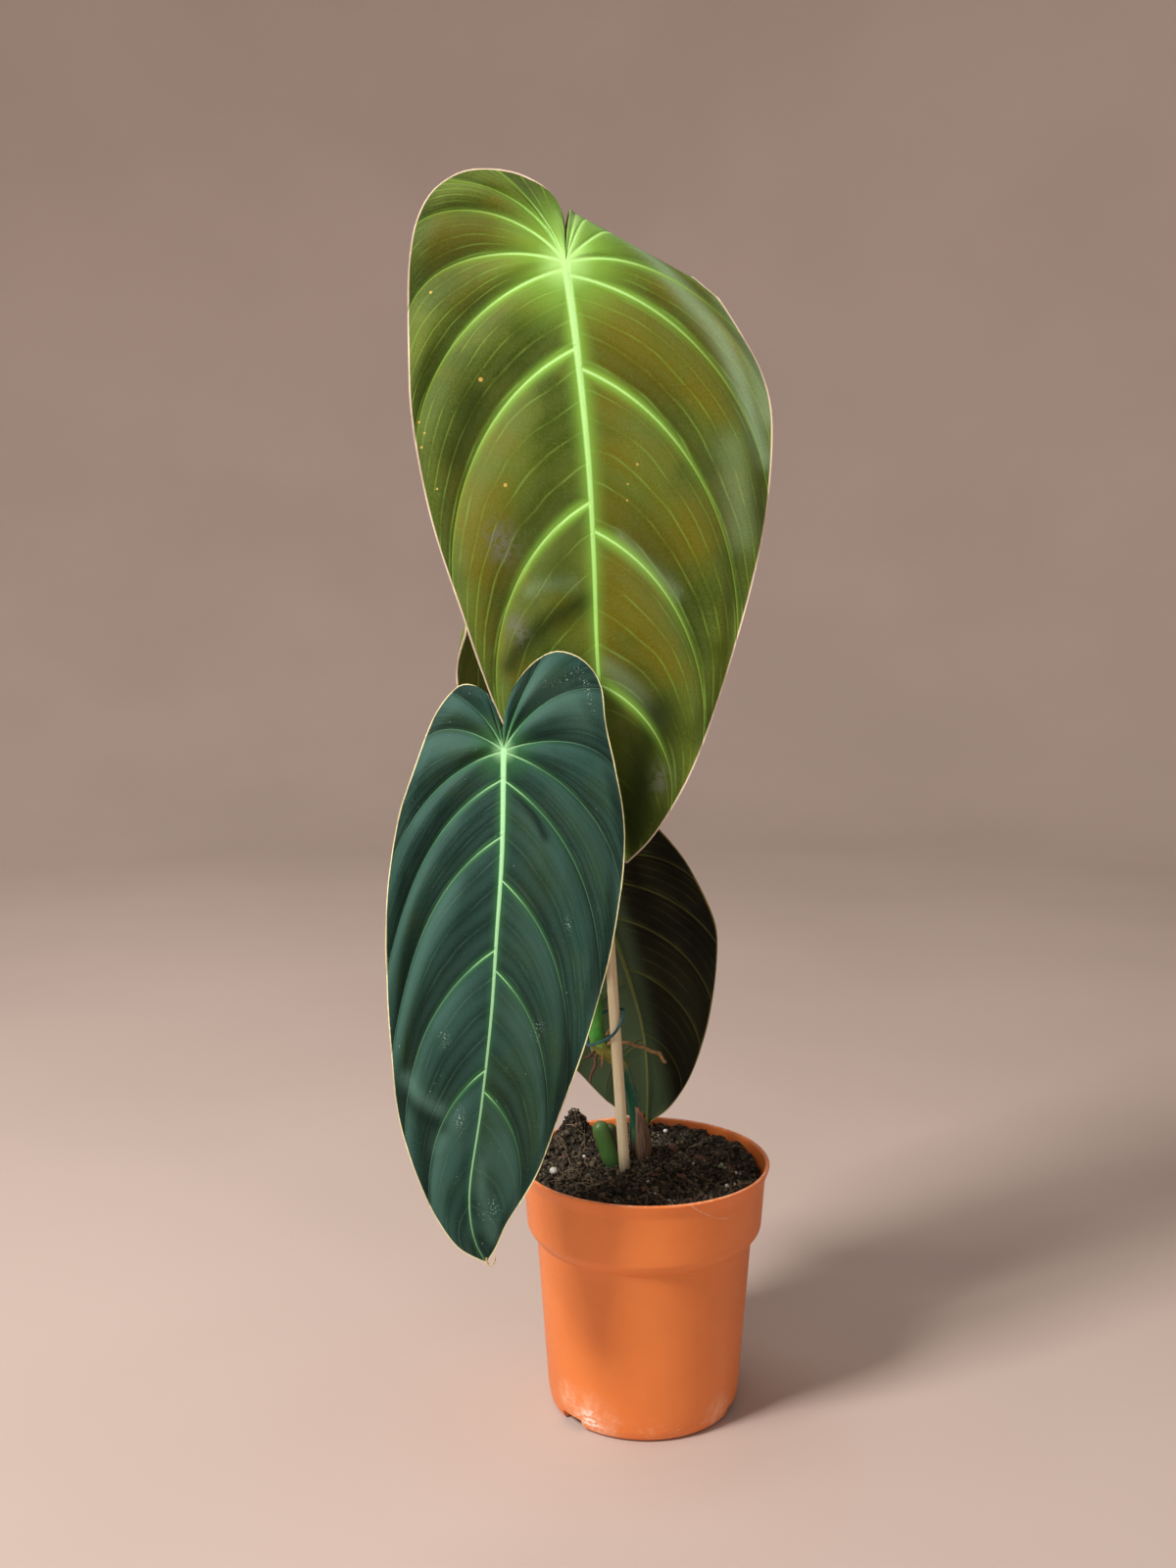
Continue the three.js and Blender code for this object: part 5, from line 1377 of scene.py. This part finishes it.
def pot_mesh(sectors=200):
    ring_in, floor = FOOT_RADIUS - FOOT_RING_WIDTH, FLOOR_RAISED
    outside = [
        (0, 0), (CENTRE_PAD_RADIUS, 0), (CENTRE_PAD_RADIUS + 0.8, floor), (ring_in - 0.8, floor), (ring_in, 0),
        (FOOT_RADIUS - 0.9, 0), (FOOT_RADIUS + 0.5, 1.2), (FOOT_RADIUS + 1.5, 4.2), (FOOT_RADIUS + 2.3, 9.5),
        (STEP_RADIUS, STEP_Z), (STEP_RADIUS + 1.2, STEP_Z + 1), (BAND_FOOT_RADIUS - 0.9, BAND_FOOT_Z - 1.1),
        (BAND_FOOT_RADIUS, BAND_FOOT_Z + 0.8), (RIM_RADIUS - RIM_FLARE, POT_HEIGHT - 7),
        (RIM_RADIUS - 0.4, POT_HEIGHT - 2), (RIM_RADIUS, POT_HEIGHT - 0.7), (RIM_RADIUS - 0.5, POT_HEIGHT),
    ]
    inside = [
        (RIM_RADIUS - WALL - 0.2, POT_HEIGHT), (RIM_RADIUS - WALL - 0.9, POT_HEIGHT - 0.8),
        (RIM_RADIUS - RIM_FLARE - WALL, POT_HEIGHT - 7), (BAND_FOOT_RADIUS - WALL, BAND_FOOT_Z + 1),
        (STEP_RADIUS - WALL + 0.2, STEP_Z + 1), (FOOT_RADIUS + 2.3 - WALL, 9.5),
        (FOOT_RADIUS + 0.4 - WALL, FLOOR_TOP), (0, FLOOR_TOP),
    ]
    rings = softened(outside + inside, 0.9)[1:-1]
    wall = [point for radius, z in rings for point in circle(radius, z, sectors)]
    verts = [[0, 0, 0], *wall, [0, 0, FLOOR_TOP]]
    faces = [[0, 1 + (k + 1) % sectors, 1 + k] for k in range(sectors)]
    faces += ring_faces(len(rings), sectors, first=1)
    last = 1 + (len(rings) - 1) * sectors
    faces += [[last + k, last + (k + 1) % sectors, len(verts) - 1] for k in range(sectors)]
    return np.array(verts), faces


def pot_look():
    """Orange plastic with pale scuffs round its foot and beside the left notch, and a pale line round its lip
    that is partly wear and partly a painted highlight.
    """
    look = Look("pot_plastic")
    height, near = look.axis("Z"), look.far(SCUFF)
    broad = look.noise(22, 3)
    torn = look.noise(260, 5, 0.7, where=look.stretched(1, 1, 2.5))
    look.ground(look.band(broad, 0.3, 0.7), (0.74, 0.195, 0.040), (0.82, 0.225, 0.050))
    spots_near = [look.band(look.far(spot), 0.012, 0.002) for spot in MILKY_SPOTS]
    milky = look.larger(look.band(near, 0.020, 0.004), *spots_near)
    look.paint(milky * look.band(look.noise(300, 4, 0.6), 0.35, 0.7, 0.1, 0.5), (0.92, 0.58, 0.42))
    look.paint(look.band(height, 0.014, 0.003) * look.band(torn, 0.52, 0.66) * 0.4, (0.88, 0.50, 0.34))
    look.paint(look.band(near, 0.010, 0.002) * look.band(torn, 0.47, 0.60), (0.92, 0.78, 0.70))
    # A pale line round the top of the lip, partly wear and partly a painted highlight
    look.paint(look.band(height, 0.1193, 0.1199) * look.band(torn, 0.4, 0.6) * 0.45, (0.90, 0.55, 0.42))
    look.paint(look.dots(420, 0.11, 0.05) * 0.7, (0.9, 0.62, 0.45))
    more = {
        "Specular IOR Level": 0.45, "Subsurface Weight": 0.12, "Subsurface Radius": (0.006, 0.002, 0.0008),
        "Subsurface Scale": 1.0,
    }
    uneven = broad * 2.0 + look.noise(1800, 3) * 0.25
    return look.finish(look.band(torn, 0.35, 0.7, 0.36, 0.48), uneven, 0.0003, 0.5, more)


def add_object(name, mesh):
    made = bpy.data.objects.new(name, mesh)
    bpy.context.scene.collection.objects.link(made)
    return made


def notch_tool(bearing):
    """The block that cuts a drain notch, narrower at its top."""
    c, s = math.cos(math.radians(bearing)), math.sin(math.radians(bearing))
    corners = []
    for sx, sy, sz in ((x, y, z) for x in (-1, 1) for y in (-1, 1) for z in (-1, 1)):
        x = FOOT_RADIUS + sx * NOTCH_DEPTH / 2
        y = sy * (NOTCH_WIDTH / 2 - (NOTCH_TAPER if sz > 0 else 0))
        corners.append([(x * c - y * s) * MM, (x * s + y * c) * MM, sz * NOTCH_HEIGHT * MM])
    mesh = bpy.data.meshes.new("notch")
    faces = [(0, 1, 3, 2), (4, 6, 7, 5), (0, 4, 5, 1), (2, 3, 7, 6), (0, 2, 6, 4), (1, 5, 7, 3)]
    mesh.from_pydata(corners, [], faces)
    return add_object("notch", mesh)


def carve(piece, tools):
    """Cuts the tools out of a piece's mesh and removes them."""
    for tool in tools:
        cutter = piece.modifiers.new("cut", "BOOLEAN")
        cutter.operation, cutter.solver, cutter.object = "DIFFERENCE", "EXACT", tool
    bpy.context.view_layer.update()
    carved = bpy.data.meshes.new_from_object(piece.evaluated_get(bpy.context.evaluated_depsgraph_get()))
    piece.modifiers.clear()
    piece.data = carved
    for tool in tools:
        bpy.data.objects.remove(tool)


POT_EDGE = 40
pot = make_piece("nursery_pot", "pot_plastic", ["pot"], pot_look(), *pot_mesh(), sharp=POT_EDGE)
carve(pot, [notch_tool(bearing) for bearing in NOTCH_BEARINGS])
pot.data.set_sharp_from_angle(angle=math.radians(POT_EDGE))

# A pale fibre and a short scratch on the rim, as bearings in degrees and heights

SCRATCHES = [
    [(-71.6, 119.4), (-68, 116.2), (-63.6, 113.4), (-59.5, 111), (-55.5, 109.4), (-48.9, 108.2), (-46, 108.6)],
    [(-32.4, 118.8), (-28.6, 117.6), (-24.5, 116.6)],
]
SCRATCH_RADIUS = 0.13
RIM_HEIGHTS = [89, 113, 118, 119.3]
RIM_RADII = [BAND_FOOT_RADIUS, RIM_RADIUS - RIM_FLARE, RIM_RADIUS - 0.4, RIM_RADIUS]

scratches = Parts()
for places in SCRATCHES:
    path = []
    for bearing, z in places:
        wall, angle = np.interp(z, RIM_HEIGHTS, RIM_RADII), math.radians(bearing)
        path.append([wall * math.cos(angle), wall * math.sin(angle), z, SCRATCH_RADIUS])
    verts, faces, _ = tube(path, 6, 60)
    scratches.add(verts, faces)
scratch_look = plain_look(
    "pot_scratch", (0.78, 0.40, 0.22), (0.92, 0.72, 0.58), 0.6, (700, 3, 0.6), depth=0.0001,
)
make_piece("rim_scratches", "pot_plastic", [], scratch_look, *scratches.whole())

# Light, floor and camera, in metres

PHOTO_HEIGHT = 1600
PHOTO_FOCAL = 1635
CAMERA_PLACE = (-0.027, -0.740, 0.398)
CAMERA_TILT = 7.45
SENSOR = 36


def floor_look():
    look = Look("floor")
    look.ground(look.band(look.noise(3.0, 2), 0.3, 0.7), (0.50, 0.405, 0.36), (0.53, 0.43, 0.385))
    return look.finish(0.9, more={"Specular IOR Level": 0.2})


def studio():
    """A round floor that rises into a wall."""
    bend = [(1.6 + math.sin(a), 1.0 - math.cos(a)) for a in np.linspace(0.12, math.pi / 2, 14)]
    profile = [(0.4, 0), (0.9, 0), (1.3, 0), (1.6, 0), *bend, (2.6, 3.4)]
    sides = 96
    verts = [point for radius, z in profile for point in circle(radius, z, sides)]
    mesh = bpy.data.meshes.new("floor")
    mesh.from_pydata(verts, [], [list(range(sides))] + ring_faces(len(profile), sides, flipped=True))
    mesh.shade_smooth()
    mesh.materials.append(floor_look())
    floor = add_object("floor", mesh)
    floor.location.z = -0.0004


def area_light(name, place, target, size, power, colour):
    light = bpy.data.lights.new(name, "AREA")
    light.shape, light.size, light.energy, light.color = "SQUARE", size, power, colour
    lamp = add_object(name, light)
    lamp.location = place
    lamp.rotation_euler = (Vector(target) - Vector(place)).to_track_quat("-Z", "Y").to_euler()


studio()
area_light("key", (-1.16, -0.87, 1.6), (0, 0, 0.25), 0.45, 50, (1.0, 0.96, 0.91))
area_light("fill", (-0.35, -1.8, 0.55), (0, 0, 0.3), 1.0, 6, (1.0, 0.98, 0.96))
area_light("top", (-0.5, 0.5, 2.0), (0, 0, 0.3), 1.0, 7, (1.0, 0.98, 0.95))

world = bpy.data.worlds.new("room")
world.use_nodes = True
world.node_tree.nodes["Background"].inputs[0].default_value = (1.0, 0.95, 0.9, 1)
world.node_tree.nodes["Background"].inputs[1].default_value = 0.35
scene = bpy.context.scene
scene.world = world
scene.view_settings.view_transform = "Standard"

lens = bpy.data.cameras.new("camera")
lens.sensor_fit = "VERTICAL"
lens.sensor_height = SENSOR
lens.lens = SENSOR * PHOTO_FOCAL / PHOTO_HEIGHT
lens.clip_start = 0.01
camera = add_object("camera", lens)
camera.location = CAMERA_PLACE
camera.rotation_euler = (math.radians(90 - CAMERA_TILT), 0, 0)
scene.camera = camera
